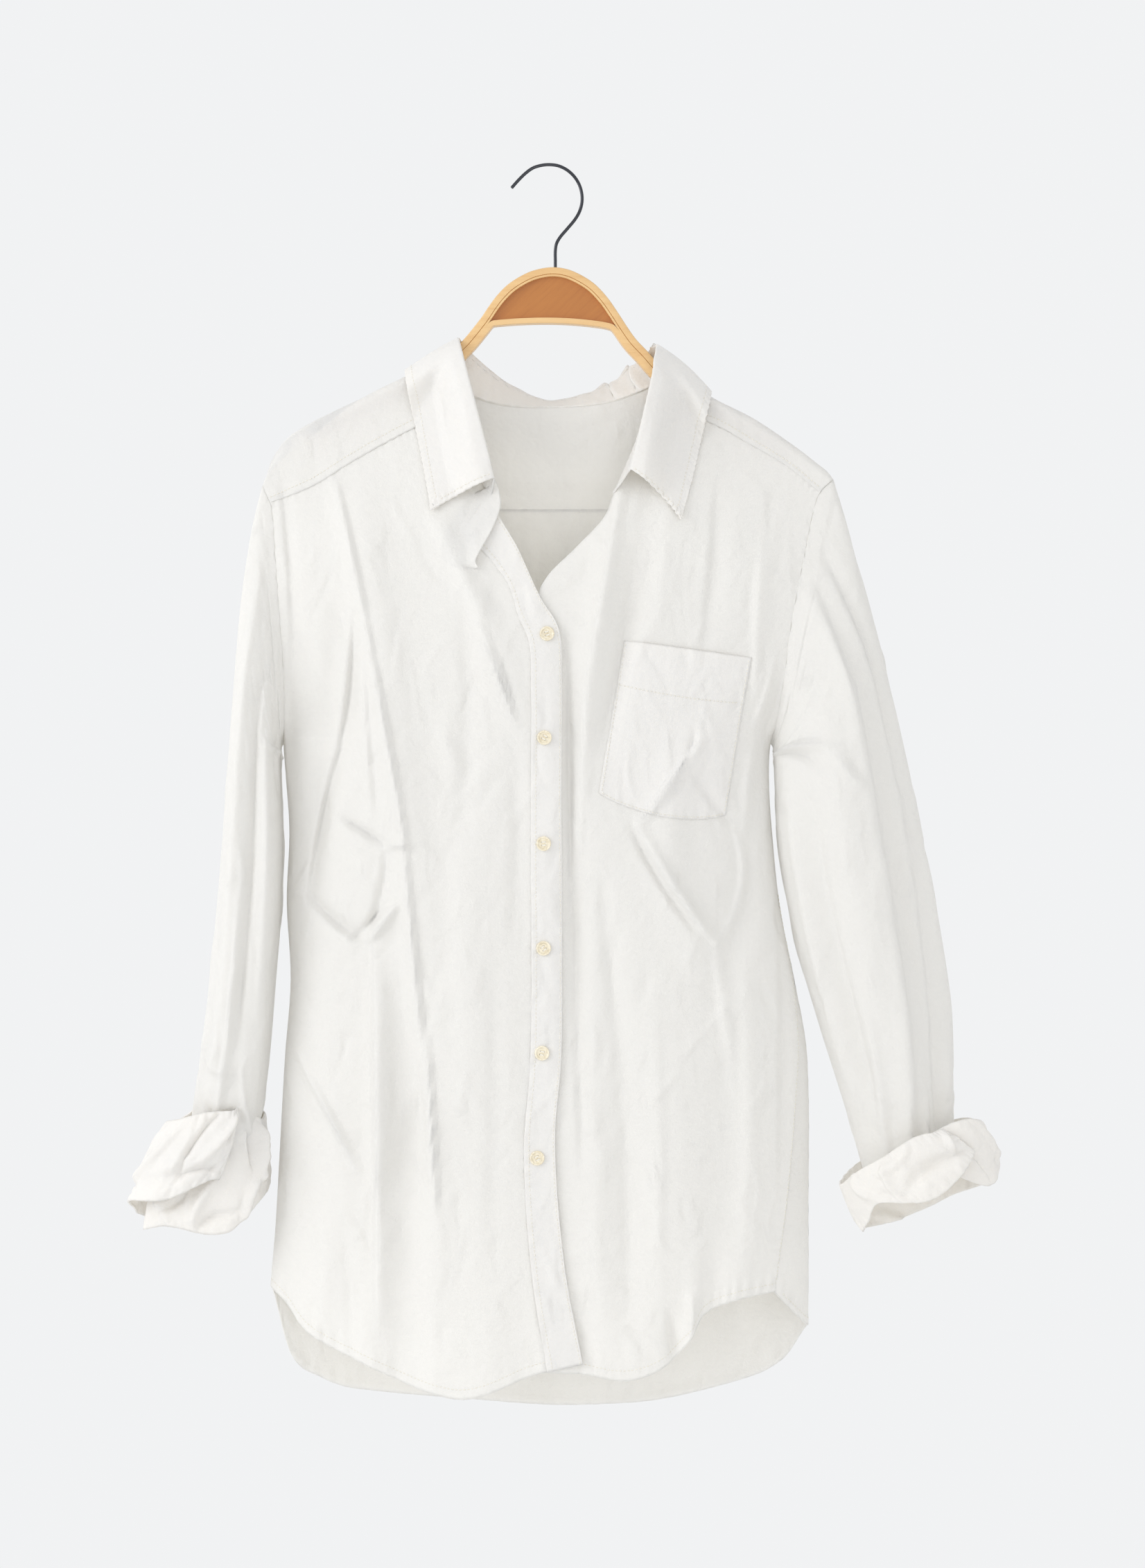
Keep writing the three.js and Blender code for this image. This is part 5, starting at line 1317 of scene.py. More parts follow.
def edit_select(made, test_faces):
    """In edit mode, leaves only the faces selected whose centre and normal pass a test."""
    bpy.ops.mesh.select_mode(type="FACE")
    bpy.ops.mesh.select_all(action="DESELECT")
    mesh = bmesh.from_edit_mesh(made.data)
    for face in mesh.faces:
        face.select_set(test_faces(face.calc_center_median(), face.normal))
    bmesh.update_edit_mesh(made.data)


def add_cylinder(vertices, radius, depth, location, rotation=(0, 0, 0)):
    deselect_all()
    bpy.ops.mesh.primitive_cylinder_add(
        vertices=vertices, radius=radius, depth=depth, location=location, rotation=rotation
    )
    return bpy.context.object


def bevel_edges(made, width, segments, degrees):
    """Rounds the edges that turn by more than an angle."""
    bpy.context.view_layer.objects.active = made
    edge = made.modifiers.new("edge", "BEVEL")
    edge.width, edge.segments = width, segments
    edge.limit_method, edge.angle_limit = "ANGLE", math.radians(degrees)
    bpy.ops.object.modifier_apply(modifier="edge")


def model_button():
    """A four-hole button, face up at the origin, in metres."""
    buttons = bpy.context.scene.blouse_buttons
    radius, thickness = buttons.diameter / 2, buttons.thickness
    button = add_cylinder(48, radius, thickness, (0, 0, thickness / 2))
    bpy.ops.object.mode_set(mode="EDIT")
    edit_select(button, lambda c, n: n.z > 0.9)
    bpy.ops.mesh.inset(thickness=radius * 0.2)
    bpy.ops.mesh.inset(thickness=radius * 0.12, depth=-thickness * 0.28)
    bpy.ops.mesh.inset(thickness=radius * 0.25, depth=-thickness * 0.06)
    bpy.ops.object.mode_set(mode="OBJECT")
    bevel_edges(button, radius * 0.07, 3, 25)
    spread = buttons.hole_spacing / 2
    for x, y in ((-spread, -spread), (spread, -spread), (spread, spread), (-spread, spread)):
        drill = add_cylinder(16, buttons.hole / 2, thickness * 4, (x, y, 0))
        bpy.context.view_layer.objects.active = button
        cut = button.modifiers.new("hole", "BOOLEAN")
        cut.operation, cut.object, cut.solver = "DIFFERENCE", drill, "EXACT"
        bpy.ops.object.modifier_apply(modifier="hole")
        bpy.data.objects.remove(drill)
    return button


def model_thread():
    """Two pairs of sewing threads that cross from hole to hole of a button."""
    buttons = bpy.context.scene.blouse_buttons
    spread = buttons.hole_spacing / 2
    parts = []
    for y in (-spread, spread):
        for k in (-1, 0, 1):
            high = buttons.thickness * 0.78 + (0.1 * MM if k == 0 else 0)
            place = (0, y + k * THREAD_GAP, high)
            long = 2 * spread + 0.5 * MM
            parts.append(add_cylinder(8, THREAD_RADIUS, long, place, (0, math.pi / 2, 0)))
    deselect_all()
    for part in parts:
        part.select_set(True)
    bpy.context.view_layer.objects.active = parts[0]
    bpy.ops.object.join()
    bpy.ops.object.transform_apply(location=True, rotation=True, scale=True)
    return bpy.context.object


def copy_at(pattern, name, matrix):
    made = bpy.data.objects.new(name, pattern.data.copy())
    made.data.name = name
    made.data.transform(matrix)
    bpy.context.scene.collection.objects.link(made)
    return made


def smooth_by_angle(made, degrees):
    deselect_all()
    made.select_set(True)
    bpy.context.view_layer.objects.active = made
    bpy.ops.object.shade_smooth_by_angle(angle=math.radians(degrees))


def add_buttons(button_material, thread_material):
    button, thread = model_button(), model_thread()
    for i, (x, z) in enumerate(zip(BUTTONS["x"], BUTTONS["z"])):
        steps = ((0, 0), (1, 0), (-1, 0), (0, 1), (0, -1))
        p = body_points(np.array([x, z]) + BUTTON_REACH * np.array(steps), "front", 1.7)
        normal = unit(np.cross(p[1] - p[2], p[3] - p[4]))
        if normal[1] > 0:
            normal = -normal
        out = Vector(normal)
        turn = out.to_track_quat("Z", "Y").to_matrix().to_4x4()
        spin = Matrix.Rotation(math.radians(BUTTON_TURNS[i]), 4, "Z")
        place = Matrix.Translation(Vector(p[0]) * MM + out * 0.35 * MM) @ turn @ spin
        made = copy_at(button, f"shirt_button_{i + 1}", place)
        smooth_by_angle(made, 40)
        finish_piece(made, f"button_{i + 1}", button_material)
        loops = copy_at(thread, f"button_thread_{i + 1}", place)
        smooth_by_angle(loops, 60)
        finish_piece(loops, None, thread_material)
    for pattern in (button, thread):
        bpy.data.objects.remove(pattern)


def turn_faces_out():
    """Ends edit mode with every face of a closed mesh pointing outwards."""
    bpy.ops.mesh.select_all(action="SELECT")
    bpy.ops.mesh.normals_make_consistent(inside=False)
    bpy.ops.object.mode_set(mode="OBJECT")


def sweep(name, outline, path):
    """Extrudes a flat outline, step by step, along a path in the hanger's plane.

    outline is (out, side) pairs and path (x, z) pairs, all in millimetres."""
    deselect_all()
    points = [Vector((x * MM, 0, z * MM)) for x, z in path]
    after, before = points[1:] + points[-1:], points[:1] + points[:-1]
    ways = [(q - p).normalized() for p, q in zip(before, after)]
    bpy.ops.mesh.primitive_circle_add(
        vertices=len(outline), radius=MM, fill_type="NGON", location=points[0]
    )
    made = bpy.context.object
    made.name = made.data.name = name
    bpy.ops.object.transform_apply(location=True, rotation=True, scale=True)
    first = ways[0]
    normal = Vector((-first.z, 0, first.x))
    for vertex, (out, side) in zip(made.data.vertices, outline):
        vertex.co = points[0] + normal * out * MM + Vector((0, side * MM, 0))
    bpy.ops.object.mode_set(mode="EDIT")
    bpy.ops.mesh.select_all(action="SELECT")
    for i in range(1, len(points)):
        bpy.ops.mesh.extrude_region_move(TRANSFORM_OT_translate={"value": points[i] - points[i - 1]})
        turn = math.atan2(ways[i].x, ways[i].z) - math.atan2(ways[i - 1].x, ways[i - 1].z)
        turn = (turn + math.pi) % (2 * math.pi) - math.pi
        if abs(turn) > 1e-6:
            bpy.ops.transform.rotate(
                value=-turn, orient_axis="Y", orient_type="GLOBAL", center_override=points[i]
            )
    turn_faces_out()
    return made


def add_hook(material):
    wire = bpy.context.scene.blouse_hanger.wire / MM
    path = path_through(HOOK, ("x", "z"))(np.linspace(0, 1, HOOK_STEPS))
    around = np.linspace(0, 2 * math.pi, 16, endpoint=False)
    made = sweep("hook_wire", [(wire / 2 * math.cos(a), wire / 2 * math.sin(a)) for a in around], path)
    bevel_edges(made, 0.7 * MM, 4, 60)
    smooth_by_angle(made, 45)
    finish_piece(made, "hanger_hook", material)


BOW_DEPTH = 7.2
RAIL_DEPTH = 4.2
WOOD_THICKNESS = 11
PANEL_THICKNESS = 5
ARM_START = {"left": -84, "right": 90}
ARM_END = {"left": -192, "right": 190}
ARM_UNDER_RIDGE = 4.8
BOW_STEPS = 220
RAIL_STEPS = 240
PANEL_TUCK = 0.4


def bow_line(depth):
    """The bow's outer line moved in by a depth, from the left arm's end to the right arm's."""
    left_x = np.linspace(ARM_END["left"], ARM_START["left"], 8)
    right_x = np.linspace(ARM_START["right"], ARM_END["right"], 8)
    rows = {
        "x": np.concatenate([left_x, ARCH["x"], right_x]),
        "z": np.concatenate(
            [ridge(left_x) - ARM_UNDER_RIDGE, ARCH["z"], ridge(right_x) - ARM_UNDER_RIDGE]
        ),
    }
    path = path_through(rows, ("x", "z"))(np.linspace(0, 1, BOW_STEPS))
    way = unit(np.gradient(path, axis=0))
    return path + depth * np.stack([way[:, 1], -way[:, 0]], -1)


def finish_wood(made, nodes, material):
    smooth_by_angle(made, 30)
    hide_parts(*nodes)
    finish_piece(made, None, material)


def add_bow(material):
    half, deep, groove = WOOD_THICKNESS / 2, BOW_DEPTH, 0.9
    outline = [
        (0, -half + 1.2), (0, half - 1.2), (-0.5, half - 0.3), (-1.2, half),
        (-deep + 2.1, half), (-deep + 1.8, half - groove), (-deep + 1.5, half), (-deep, half),
        (-deep, -half), (-deep + 1.5, -half), (-deep + 1.8, -half + groove), (-deep + 2.1, -half),
        (-1.2, -half), (-0.5, -half + 0.3),
    ]
    finish_wood(sweep("bent_bow", outline, bow_line(0)), ("hanger_bow",), material)


def add_rail(material):
    """The second lamination: along both arms under the bow, and straight across as the rail."""
    under = bow_line(BOW_DEPTH)
    rail_rows = np.stack([RAIL["x"], RAIL["z"]], -1)
    left_arm = under[(under[:, 0] < -40) & (under[:, 1] < rail_rows[0, 1] - 2.5)]
    right_arm = under[(under[:, 0] > 40) & (under[:, 1] < rail_rows[-1, 1] - 2.5)]
    joined = np.concatenate([left_arm, rail_rows, right_arm])
    rows = {"x": joined[:, 0], "z": joined[:, 1]}
    path = path_through(rows, ("x", "z"))(np.linspace(0, 1, RAIL_STEPS))
    half, deep = WOOD_THICKNESS / 2, RAIL_DEPTH
    outline = [
        (0, -half), (0, half), (-deep + 0.7, half), (-deep + 0.2, half - 0.25), (-deep, half - 0.8),
        (-deep, -half + 0.8), (-deep + 0.2, -half + 0.25), (-deep + 0.7, -half),
    ]
    nodes = ("hanger_arm_left", "hanger_arm_right", "hanger_rail")
    finish_wood(sweep("bent_rail", outline, path), nodes, material)


def add_panel(material):
    under = bow_line(BOW_DEPTH - PANEL_TUCK)
    top = under[(under[:, 0] > -48) & (under[:, 0] < 53) & (under[:, 1] > -124)]
    bottom = path_through(RAIL, ("x", "z"))(np.linspace(1, 0, 24)) - np.array([0, 0.5])
    outline = np.concatenate([top, bottom])
    deselect_all()
    bpy.ops.mesh.primitive_circle_add(
        vertices=len(outline), radius=MM, fill_type="NGON", location=(0, 0, 0)
    )
    made = bpy.context.object
    made.name = made.data.name = "veneered_panel"
    for vertex, (x, z) in zip(made.data.vertices, outline):
        vertex.co = (x * MM, PANEL_THICKNESS / 2 * MM, z * MM)
    bpy.ops.object.mode_set(mode="EDIT")
    bpy.ops.mesh.select_all(action="SELECT")
    bpy.ops.mesh.extrude_region_move(TRANSFORM_OT_translate={"value": (0, -PANEL_THICKNESS * MM, 0)})
    turn_faces_out()
    finish_wood(made, ("hanger_panel",), material)


# ---------------------------------------------------------------- materials


def linear(hex_colour):
    """An sRGB hex colour as linear red, green, blue."""
    value = hex_colour.lstrip("#")
    parts = [int(value[i : i + 2], 16) / 255 for i in (0, 2, 4)]
    return tuple(p / 12.92 if p <= 0.04045 else ((p + 0.055) / 1.055) ** 2.4 for p in parts)


def add_node(tree, kind, inputs=None, **settings):
    """Adds a node with its settings; each input is given a value, or the socket linked to it."""
    made = tree.nodes.new(kind)
    for name, value in settings.items():
        setattr(made, name, value)
    for name, value in (inputs or {}).items():
        if isinstance(value, bpy.types.NodeSocket):
            tree.links.new(value, made.inputs[name])
        else:
            made.inputs[name].default_value = value
    return made


def new_material(name):
    made = bpy.data.materials.new(name)
    made.use_nodes = True
    made.node_tree.nodes.clear()
    return made, made.node_tree


def rgba(colour):
    return (*colour[:3], 1.0)


def ramp(tree, factor, stops):
    """A colour ramp node from a factor and (position, linear colour) stops."""
    made = add_node(tree, "ShaderNodeValToRGB", {"Fac": factor})
    elements = made.color_ramp.elements
    for i, (position, colour) in enumerate(stops):
        element = elements[i] if i < len(elements) else elements.new(position)
        element.position, element.color = position, rgba(colour)
    return made.outputs["Color"]


def noise(tree, vector, scale, detail, more=None, **settings):
    inputs = {"Vector": vector, "Scale": scale, "Detail": detail, **(more or {})}
    return add_node(tree, "ShaderNodeTexNoise", inputs, **settings).outputs["Fac"]


def bumped(tree, height, strength, distance, over=None):
    """A bump of a height in metres, over another bump where there is one."""
    inputs = {"Height": height, "Strength": strength, "Distance": distance}
    if over:
        inputs["Normal"] = over
    return add_node(tree, "ShaderNodeBump", inputs).outputs["Normal"]


def object_place(tree):
    return add_node(tree, "ShaderNodeTexCoord").outputs["Object"]


def finish_surface(tree, inputs, colour=None):
    """A principled surface, shown as it is; its base colour may come from a socket."""
    surface = add_node(tree, "ShaderNodeBsdfPrincipled", inputs)
    if colour:
        tree.links.new(colour, surface.inputs["Base Color"])
    add_node(tree, "ShaderNodeOutputMaterial", {"Surface": surface.outputs[0]})


def plain_woven_cotton(name, see_through, shade):
    """Cotton in plain weave, washed and dried unironed: matt, a little translucent, warm in shade.

    Its threads are drawn 0.9 mm apart, coarser than the real 0.35 mm, so that they show."""
    cloth = look()
    material, tree = new_material(name)
    uv = add_node(tree, "ShaderNodeUVMap", uv_map="cloth").outputs["UV"]
    place = object_place(tree)
    across = add_node(tree, "ShaderNodeSeparateXYZ", {"Vector": uv})
    threads = []
    for axis in ("X", "Y"):
        turn = {0: across.outputs[axis], 1: math.pi / cloth.thread_spacing}
        turn = add_node(tree, "ShaderNodeMath", turn, operation="MULTIPLY").outputs[0]
        threads.append(add_node(tree, "ShaderNodeMath", {0: turn}, operation="SINE").outputs[0])
    weave = {0: threads[0], 1: threads[1]}
    weave = add_node(tree, "ShaderNodeMath", weave, operation="MULTIPLY").outputs[0]
    fall = {"Vector": place, "Scale": (1.0, 1.0, 0.5)}
    fall = add_node(tree, "ShaderNodeMapping", fall).outputs["Vector"]
    ridged = {"Roughness": 0.55, "Distortion": 0.6}
    crinkle = noise(tree, fall, 52.0, 5.0, ridged, noise_type="RIDGED_MULTIFRACTAL")
    slub = noise(tree, place, 240.0, 3.0)
    bump = bumped(tree, weave, 0.22, 0.00012)
    bump = bumped(tree, slub, 0.6, 0.0012, bump)
    bump = bumped(tree, crinkle, 0.8, 0.0026, bump)
    tone = add_node(
        tree, "ShaderNodeMix",
        {"Factor": slub, "A": rgba(cloth.cotton), "B": rgba([c * 0.97 for c in cloth.cotton])},
        data_type="RGBA",
    )
    surface = add_node(
        tree,
        "ShaderNodeBsdfPrincipled",
        {
            "Roughness": 0.88,
            "IOR": 1.45,
            "Specular IOR Level": 0.25,
            "Sheen Weight": 0.12,
            "Sheen Roughness": 0.5,
            "Normal": bump,
        },
    )
    tree.links.new(tone.outputs[2], surface.inputs["Base Color"])
    through = add_node(tree, "ShaderNodeBsdfTranslucent", {"Color": rgba(shade), "Normal": bump})
    shares = {0: see_through, 1: surface.outputs[0], 2: through.outputs[0]}
    both = add_node(tree, "ShaderNodeMixShader", shares)
    add_node(tree, "ShaderNodeOutputMaterial", {"Surface": both.outputs[0]})
    return material


def sewing_cotton():
    """Spun cotton thread: matt, as white as the cloth."""
    material, tree = new_material("spun_cotton_thread")
    white = rgba(linear("#F1EDE2"))
    finish_surface(tree, {"Base Color": white, "Roughness": 0.8, "Specular IOR Level": 0.3})
    return material


def varnished_wood(name, light, dark, turn, roughness):
    """Wood under a clear satin varnish: long narrow grain that runs along the piece."""
    material, tree = new_material(name)
    place = object_place(tree)
    turned = add_node(
        tree,
        "ShaderNodeMapping",
        {"Vector": place, "Rotation": (0, turn, 0), "Scale": (0.2, 0.03, 0.016)},
        vector_type="TEXTURE",
    ).outputs["Vector"]
    grain = noise(tree, turned, 2.2, 5.0, {"Roughness": 0.6, "Distortion": 0.7})
    pores = noise(tree, turned, 11.0, 3.0, {"Roughness": 0.7})
    colour = ramp(tree, grain, ((0.3, dark), (0.5, mix_colour(light, dark, 0.4)), (0.7, light)))
    speck = ramp(tree, pores, ((0.3, (0.86, 0.8, 0.74)), (0.46, (1, 1, 1))))
    shown = add_node(tree, "ShaderNodeMix", {"Factor": 0.45}, data_type="RGBA", blend_type="MULTIPLY")
    tree.links.new(colour, shown.inputs[6])
    tree.links.new(speck, shown.inputs[7])
    bump = bumped(tree, pores, 0.12, 0.0003)
    varnish = {"Roughness": roughness, "IOR": 1.5, "Coat Weight": 0.35, "Coat Roughness": 0.2}
    finish_surface(tree, {**varnish, "Normal": bump}, shown.outputs[2])
    return material


def mix_colour(a, b, t):
    return tuple(mix(p, q, t) for p, q in zip(a, b))


def plated_steel():
    """Drawn steel wire with a bright plating: fine lines along it, mirror-like between them."""
    material, tree = new_material("bright_plated_wire")
    place = object_place(tree)
    haze = noise(tree, place, 420.0, 2.0)
    rough = add_node(tree, "ShaderNodeMapRange", {"Value": haze, "To Min": 0.12, "To Max": 0.26})
    # The dark steel colour is partly painted reflection: it stands in for dark surroundings mirrored in the
    # bright plating.
    metal = {"Base Color": rgba(bpy.context.scene.blouse_hanger.steel), "Metallic": 1.0}
    plating = {"Roughness": rough.outputs[0], "Coat Weight": 0.5, "Coat Roughness": 0.04}
    finish_surface(tree, {**metal, **plating})
    return material


def pearl_plastic():
    """Moulded polyester with a pearl swirl: creamy, glossy and clouded."""
    buttons = bpy.context.scene.blouse_buttons
    material, tree = new_material("pearl_polyester")
    place = object_place(tree)
    cloud = noise(tree, place, 210.0, 3.0, {"Distortion": 2.2})
    dim = mix_colour(buttons.pearl, linear("#C9B78E"), 0.5)
    colour = ramp(tree, cloud, ((0.35, dim), (0.62, buttons.pearl)))
    gloss = {"Roughness": 0.26, "IOR": 1.55, "Coat Weight": 0.3, "Coat Roughness": 0.08}
    finish_surface(tree, gloss, colour)
    return material


DOUBLED_SHARE = 0.68  # of the light through one layer, what passes through two


def material_of(name):
    """The finish of that name, made when it is first asked for."""
    known = bpy.data.materials.get(name)
    if known:
        return known
    hanger = bpy.context.scene.blouse_hanger
    cloth = look()
    doubled = cloth.see_through * DOUBLED_SHARE
    veneer, veneer_grain = hanger.veneer, hanger.veneer_grain
    makers = {
        "plain_woven_cotton": lambda: plain_woven_cotton(name, cloth.see_through, cloth.shade),
        "doubled_cotton": lambda: plain_woven_cotton(name, doubled, cloth.double_shade),
        "spun_cotton_thread": sewing_cotton,
        "varnished_beech": lambda: varnished_wood(name, hanger.wood, hanger.wood_grain, 0.0, 0.42),
        "varnished_veneer": lambda: varnished_wood(name, veneer, veneer_grain, -0.75, 0.38),
        "bright_plated_wire": plated_steel,
        "pearl_polyester": pearl_plastic,
    }
    return makers[name]()


# ---------------------------------------------------------------- sizes and colours


def length_of(name, description, default, least):
    return bpy.props.FloatProperty(
        name=name, description=description, default=default, min=least, unit="LENGTH"
    )


def share_of(name, description, default, most):
    return bpy.props.FloatProperty(
        name=name, description=description, default=default, min=0, max=most, subtype="FACTOR"
    )


def power_of(name, description, default):
    return bpy.props.FloatProperty(name=name, description=description, default=default, unit="POWER")


def colour_of(name, description, value):
    return bpy.props.FloatVectorProperty(
        name=name, description=description, default=linear(value), size=3, subtype="COLOR", min=0, max=1
    )


class ClothSizes(bpy.types.PropertyGroup):
    thickness: length_of("Thickness", "Thickness of one layer of the cotton", 0.0005, 0.0002)
    collar_thickness: length_of("Collar thickness", "Collar and cuffs, sewn double", 0.0011, 0.0004)
    crease_depth: share_of("Crease depth", "Share of the main creases' full depth", 1.65, 2)
    rumple_depth: length_of("Rumple depth", "Depth of the small creases left by washing", 0.0012, 0)
    thread_spacing: length_of("Thread spacing", "Spacing of the woven threads as drawn", 0.0009, 0.0002)
    see_through: share_of("Translucency", "Share of the light that passes through one layer", 0.36, 1)
    cotton: colour_of("Cotton", "Colour of the cotton", "#FCFCFC")
    shade: colour_of("Light through", "Colour of the light that passes through", "#FAF7EF")
    double_shade: colour_of(
        "Light through two", "Colour of the light that passes through doubled cloth", "#F6EBD3"
    )


class ButtonSizes(bpy.types.PropertyGroup):
    diameter: length_of("Diameter", "Outer diameter of a button", 0.0112, 0.005)
    thickness: length_of("Thickness", "Thickness of a button at its rim", 0.0024, 0.001)
    hole: length_of("Hole", "Diameter of each of the four holes", 0.0013, 0.0005)
    hole_spacing: length_of("Hole spacing", "Distance between neighbouring holes", 0.0025, 0.001)
    pearl: colour_of("Pearl", "Colour of the buttons", "#F1E9D4")


class HangerSizes(bpy.types.PropertyGroup):
    wire: length_of("Wire", "Diameter of the hook's wire", 0.0026, 0.001)
    wood: colour_of("Wood", "Light wood of the bent frame", "#E9C48C")
    wood_grain: colour_of("Wood grain", "Darker grain of the bent frame", "#DCB077")
    veneer: colour_of("Panel", "Light wood of the veneered panel", "#BB7836")
    veneer_grain: colour_of("Panel grain", "Darker grain of the veneered panel", "#AE6B2E")
    # The hook's colour is partly painted reflection: darker than plated steel, to stand in for dark
    # surroundings it would mirror.
    steel: colour_of("Steel", "Colour of the hook", "#3C3E44")


class StageSizes(bpy.types.PropertyGroup):
    floor: length_of("Floor height", "Height of the floor below the hook", -1.75, -10)
    distance: length_of("Camera distance", "From the camera to the hanging plane", 2.4, 0.5)
    key: power_of("Window light", "Power of the soft light from the left", 18.5)
    fill: power_of("Fill light", "Power of the soft light from the front", 8.0)
    bounce: power_of("Wall light", "Power of the soft light off the wall behind", 9.0)
    sky: bpy.props.FloatProperty(
        name="Room light", description="Strength of the light all round", default=1.05, min=0
    )
    backdrop: colour_of("Backdrop", "Colour of the room behind", "#ECEDEE")


# ---------------------------------------------------------------- operators


class BLOUSE_OT_fronts(bpy.types.Operator):
    """Adds both fronts, and the buttonhole band on the lapped one"""

    bl_idname = "blouse.fronts"
    bl_label = "Fronts and Placket"

    def execute(self, context):
        cotton = material_of("plain_woven_cotton")
        lapped = add_front("left", "front_lapped", cotton)
        add_front("right", "front_under", cotton)
        add_placket(lapped, material_of("doubled_cotton"))
        return {"FINISHED"}


class BLOUSE_OT_back(bpy.types.Operator):
    """Adds the back, with its shirt-tail hem"""

    bl_idname = "blouse.back"
    bl_label = "Back"

    def execute(self, context):
        add_back(material_of("plain_woven_cotton"))
        return {"FINISHED"}


class BLOUSE_OT_yoke(bpy.types.Operator):
    """Adds the yoke over the hanger's shoulders"""

    bl_idname = "blouse.yoke"
    bl_label = "Yoke"

    def execute(self, context):
        add_yoke(material_of("plain_woven_cotton"))
        return {"FINISHED"}


class BLOUSE_OT_collar(bpy.types.Operator):
    """Adds the collar's stand and its falling leaf"""

    bl_idname = "blouse.collar"
    bl_label = "Collar"

    def execute(self, context):
        cotton = material_of("doubled_cotton")
        add_stand(cotton, material_of("plain_woven_cotton"))
        add_leaf(cotton)
        return {"FINISHED"}


class BLOUSE_OT_sleeves(bpy.types.Operator):
    """Adds both sleeves"""

    bl_idname = "blouse.sleeves"
    bl_label = "Sleeves"

    def execute(self, context):
        for side in ("left", "right"):
            add_sleeve(side, material_of("plain_woven_cotton"))
        return {"FINISHED"}


class BLOUSE_OT_cuffs(bpy.types.Operator):
    """Adds both turned-back cuffs"""

    bl_idname = "blouse.cuffs"
    bl_label = "Cuffs"

    def execute(self, context):
        for side in ("left", "right"):
            add_cuff(side, material_of("doubled_cotton"))
        return {"FINISHED"}


class BLOUSE_OT_pocket(bpy.types.Operator):
    """Adds the breast pocket"""

    bl_idname = "blouse.pocket"
    bl_label = "Pocket"

    def execute(self, context):
        add_pocket(material_of("doubled_cotton"))
        return {"FINISHED"}


class BLOUSE_OT_buttons(bpy.types.Operator):
    """Adds the buttons, sewn on down the placket"""

    bl_idname = "blouse.buttons"
    bl_label = "Buttons"

    def execute(self, context):
        add_buttons(material_of("pearl_polyester"), material_of("spun_cotton_thread"))
        return {"FINISHED"}


class BLOUSE_OT_stitching(bpy.types.Operator):
    """Adds the rows of stitches on every sewn edge"""

    bl_idname = "blouse.stitching"
    bl_label = "Stitching"

    def execute(self, context):
        add_stitches("stitching", material_of("spun_cotton_thread"))
        STITCHES.clear()
        return {"FINISHED"}


class BLOUSE_OT_hanger(bpy.types.Operator):
    """Adds the hanger's bent bow, its rail and arms, and its veneered panel"""

    bl_idname = "blouse.hanger"
    bl_label = "Hanger"

    def execute(self, context):
        beech = material_of("varnished_beech")
        add_bow(beech)
        add_rail(beech)
        add_panel(material_of("varnished_veneer"))
        return {"FINISHED"}


class BLOUSE_OT_hook(bpy.types.Operator):
    """Adds the hanger's wire hook"""

    bl_idname = "blouse.hook"
    bl_label = "Hook"

    def execute(self, context):
        add_hook(material_of("bright_plated_wire"))
        return {"FINISHED"}


FLOOR_SIZE = (6, 4.2, 1)
# Each light's place, aim, size and colour.
LIGHTS = {
    "window": ((-2.05, -1.2, 0.2), (0, 0, -0.5), (1.2, 1.6), "#FFFFFF"),
    "fill": ((0.4, -2.5, -0.9), (0, 0, -0.6), (1.6, 1.6), "#FFFAF2"),
    "wall": ((-1.6, 1.6, 0.1), (0, 0, -0.5), (1.4, 1.4), "#FFF8EE"),
}
LENS, LENS_DISTANCE = 70.7, 2.4
CAMERA_X, CAMERA_Z = 0.0178, -0.4814


def add_light(name, place, aim, size, power, colour):
    data = bpy.data.lights.new(name, "AREA")
    data.shape, data.size, data.size_y = "RECTANGLE", size[0], size[1]
    data.energy, data.color = power, colour
    made = bpy.data.objects.new(name, data)
    made.location = place
    made.rotation_euler = (Vector(aim) - Vector(place)).to_track_quat("-Z", "Y").to_euler()
    bpy.context.scene.collection.objects.link(made)


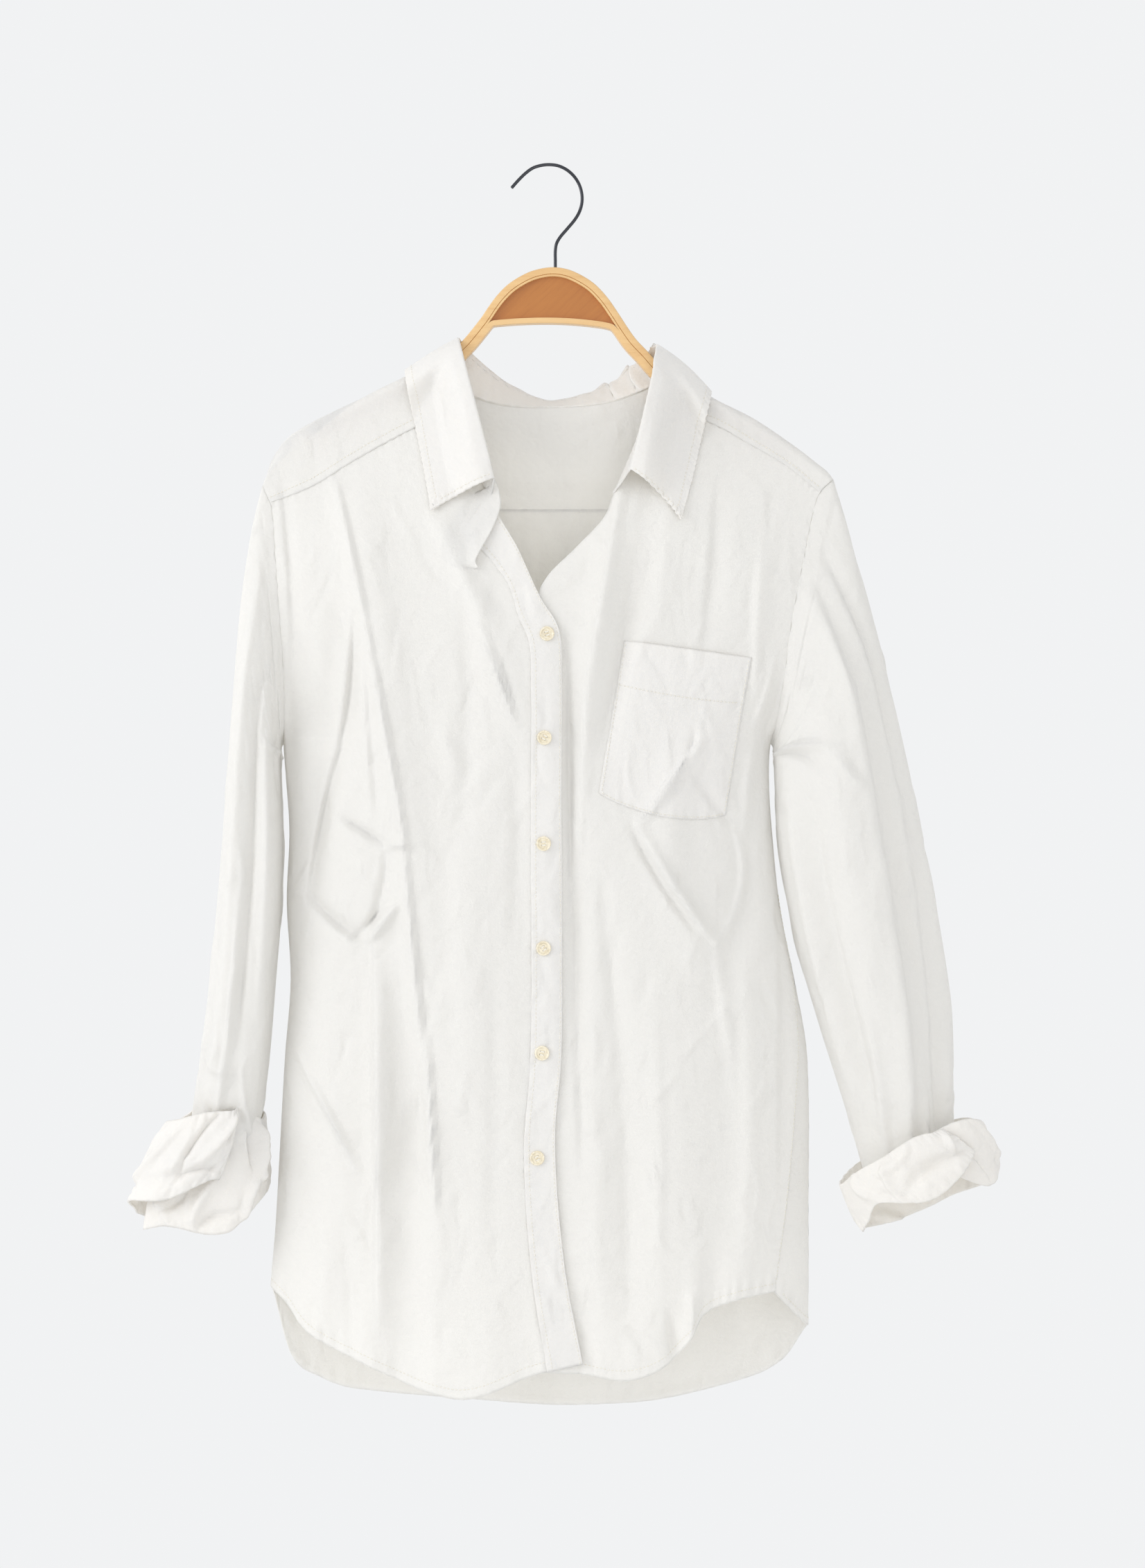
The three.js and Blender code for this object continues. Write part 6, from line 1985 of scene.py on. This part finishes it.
class BLOUSE_OT_stage(bpy.types.Operator):
    """Adds the floor, the lights, the room's light and the camera"""

    bl_idname = "blouse.stage"
    bl_label = "Stage"

    def execute(self, context):
        stage = context.scene.blouse_stage
        deselect_all()
        bpy.ops.mesh.primitive_plane_add(size=1, location=(0, -0.3, stage.floor))
        floor = context.object
        floor.name = "floor"
        floor.scale = FLOOR_SIZE
        bpy.ops.object.transform_apply(location=True, rotation=True, scale=True)
        paper, tree = new_material("pale_floor")
        finish_surface(tree, {"Base Color": rgba(stage.backdrop), "Roughness": 0.9})
        floor.data.materials.append(paper)
        world = bpy.data.worlds.new("room")
        context.scene.world = world
        world.use_nodes = True
        world.node_tree.nodes.clear()
        glow = {"Color": rgba(stage.backdrop), "Strength": stage.sky}
        light = add_node(world.node_tree, "ShaderNodeBackground", glow)
        add_node(world.node_tree, "ShaderNodeOutputWorld", {"Surface": light.outputs[0]})
        powers = {"window": stage.key, "fill": stage.fill, "wall": stage.bounce}
        for name, (place, aim, size, colour) in LIGHTS.items():
            add_light(f"{name}_light", place, aim, size, powers[name], linear(colour))
        context.scene.view_settings.view_transform = "Standard"
        data = bpy.data.cameras.new("camera")
        data.sensor_width, data.lens = 36, LENS * stage.distance / LENS_DISTANCE
        data.dof.use_dof = False
        camera = bpy.data.objects.new("camera", data)
        camera.location = (CAMERA_X, -stage.distance, CAMERA_Z)
        camera.rotation_euler = (math.pi / 2, 0, 0)
        context.scene.collection.objects.link(camera)
        context.scene.camera = camera
        return {"FINISHED"}


OPERATORS = (
    BLOUSE_OT_stage,
    BLOUSE_OT_hook,
    BLOUSE_OT_hanger,
    BLOUSE_OT_fronts,
    BLOUSE_OT_back,
    BLOUSE_OT_yoke,
    BLOUSE_OT_collar,
    BLOUSE_OT_sleeves,
    BLOUSE_OT_cuffs,
    BLOUSE_OT_pocket,
    BLOUSE_OT_buttons,
    BLOUSE_OT_stitching,
)


class BLOUSE_PT_panel(bpy.types.Panel):
    """Lists the sizes and colours of the blouse and the operators that build it"""

    bl_idname = "BLOUSE_PT_panel"
    bl_label = "Blouse"
    bl_space_type = "VIEW_3D"
    bl_region_type = "UI"
    bl_category = "Blouse"

    def draw(self, context):
        for group in (name for name, _ in GROUPS):
            box = self.layout.box()
            settings = getattr(context.scene, group)
            for name in settings.__annotations__:
                box.prop(settings, name)
        for operator in OPERATORS:
            self.layout.operator(operator.bl_idname)


GROUPS = (
    ("blouse_cloth", ClothSizes),
    ("blouse_buttons", ButtonSizes),
    ("blouse_hanger", HangerSizes),
    ("blouse_stage", StageSizes),
)
CLASSES = (ClothSizes, ButtonSizes, HangerSizes, StageSizes, *OPERATORS, BLOUSE_PT_panel)


def register():
    for item in CLASSES:
        bpy.utils.register_class(item)
    for name, group in GROUPS:
        setattr(bpy.types.Scene, name, bpy.props.PointerProperty(type=group))


def unregister():
    for name, _ in GROUPS:
        delattr(bpy.types.Scene, name)
    for item in reversed(CLASSES):
        bpy.utils.unregister_class(item)


def main():
    register()
    for operator in OPERATORS:
        category, name = operator.bl_idname.split(".")
        getattr(getattr(bpy.ops, category), name)()


if __name__ == "__main__":
    main()
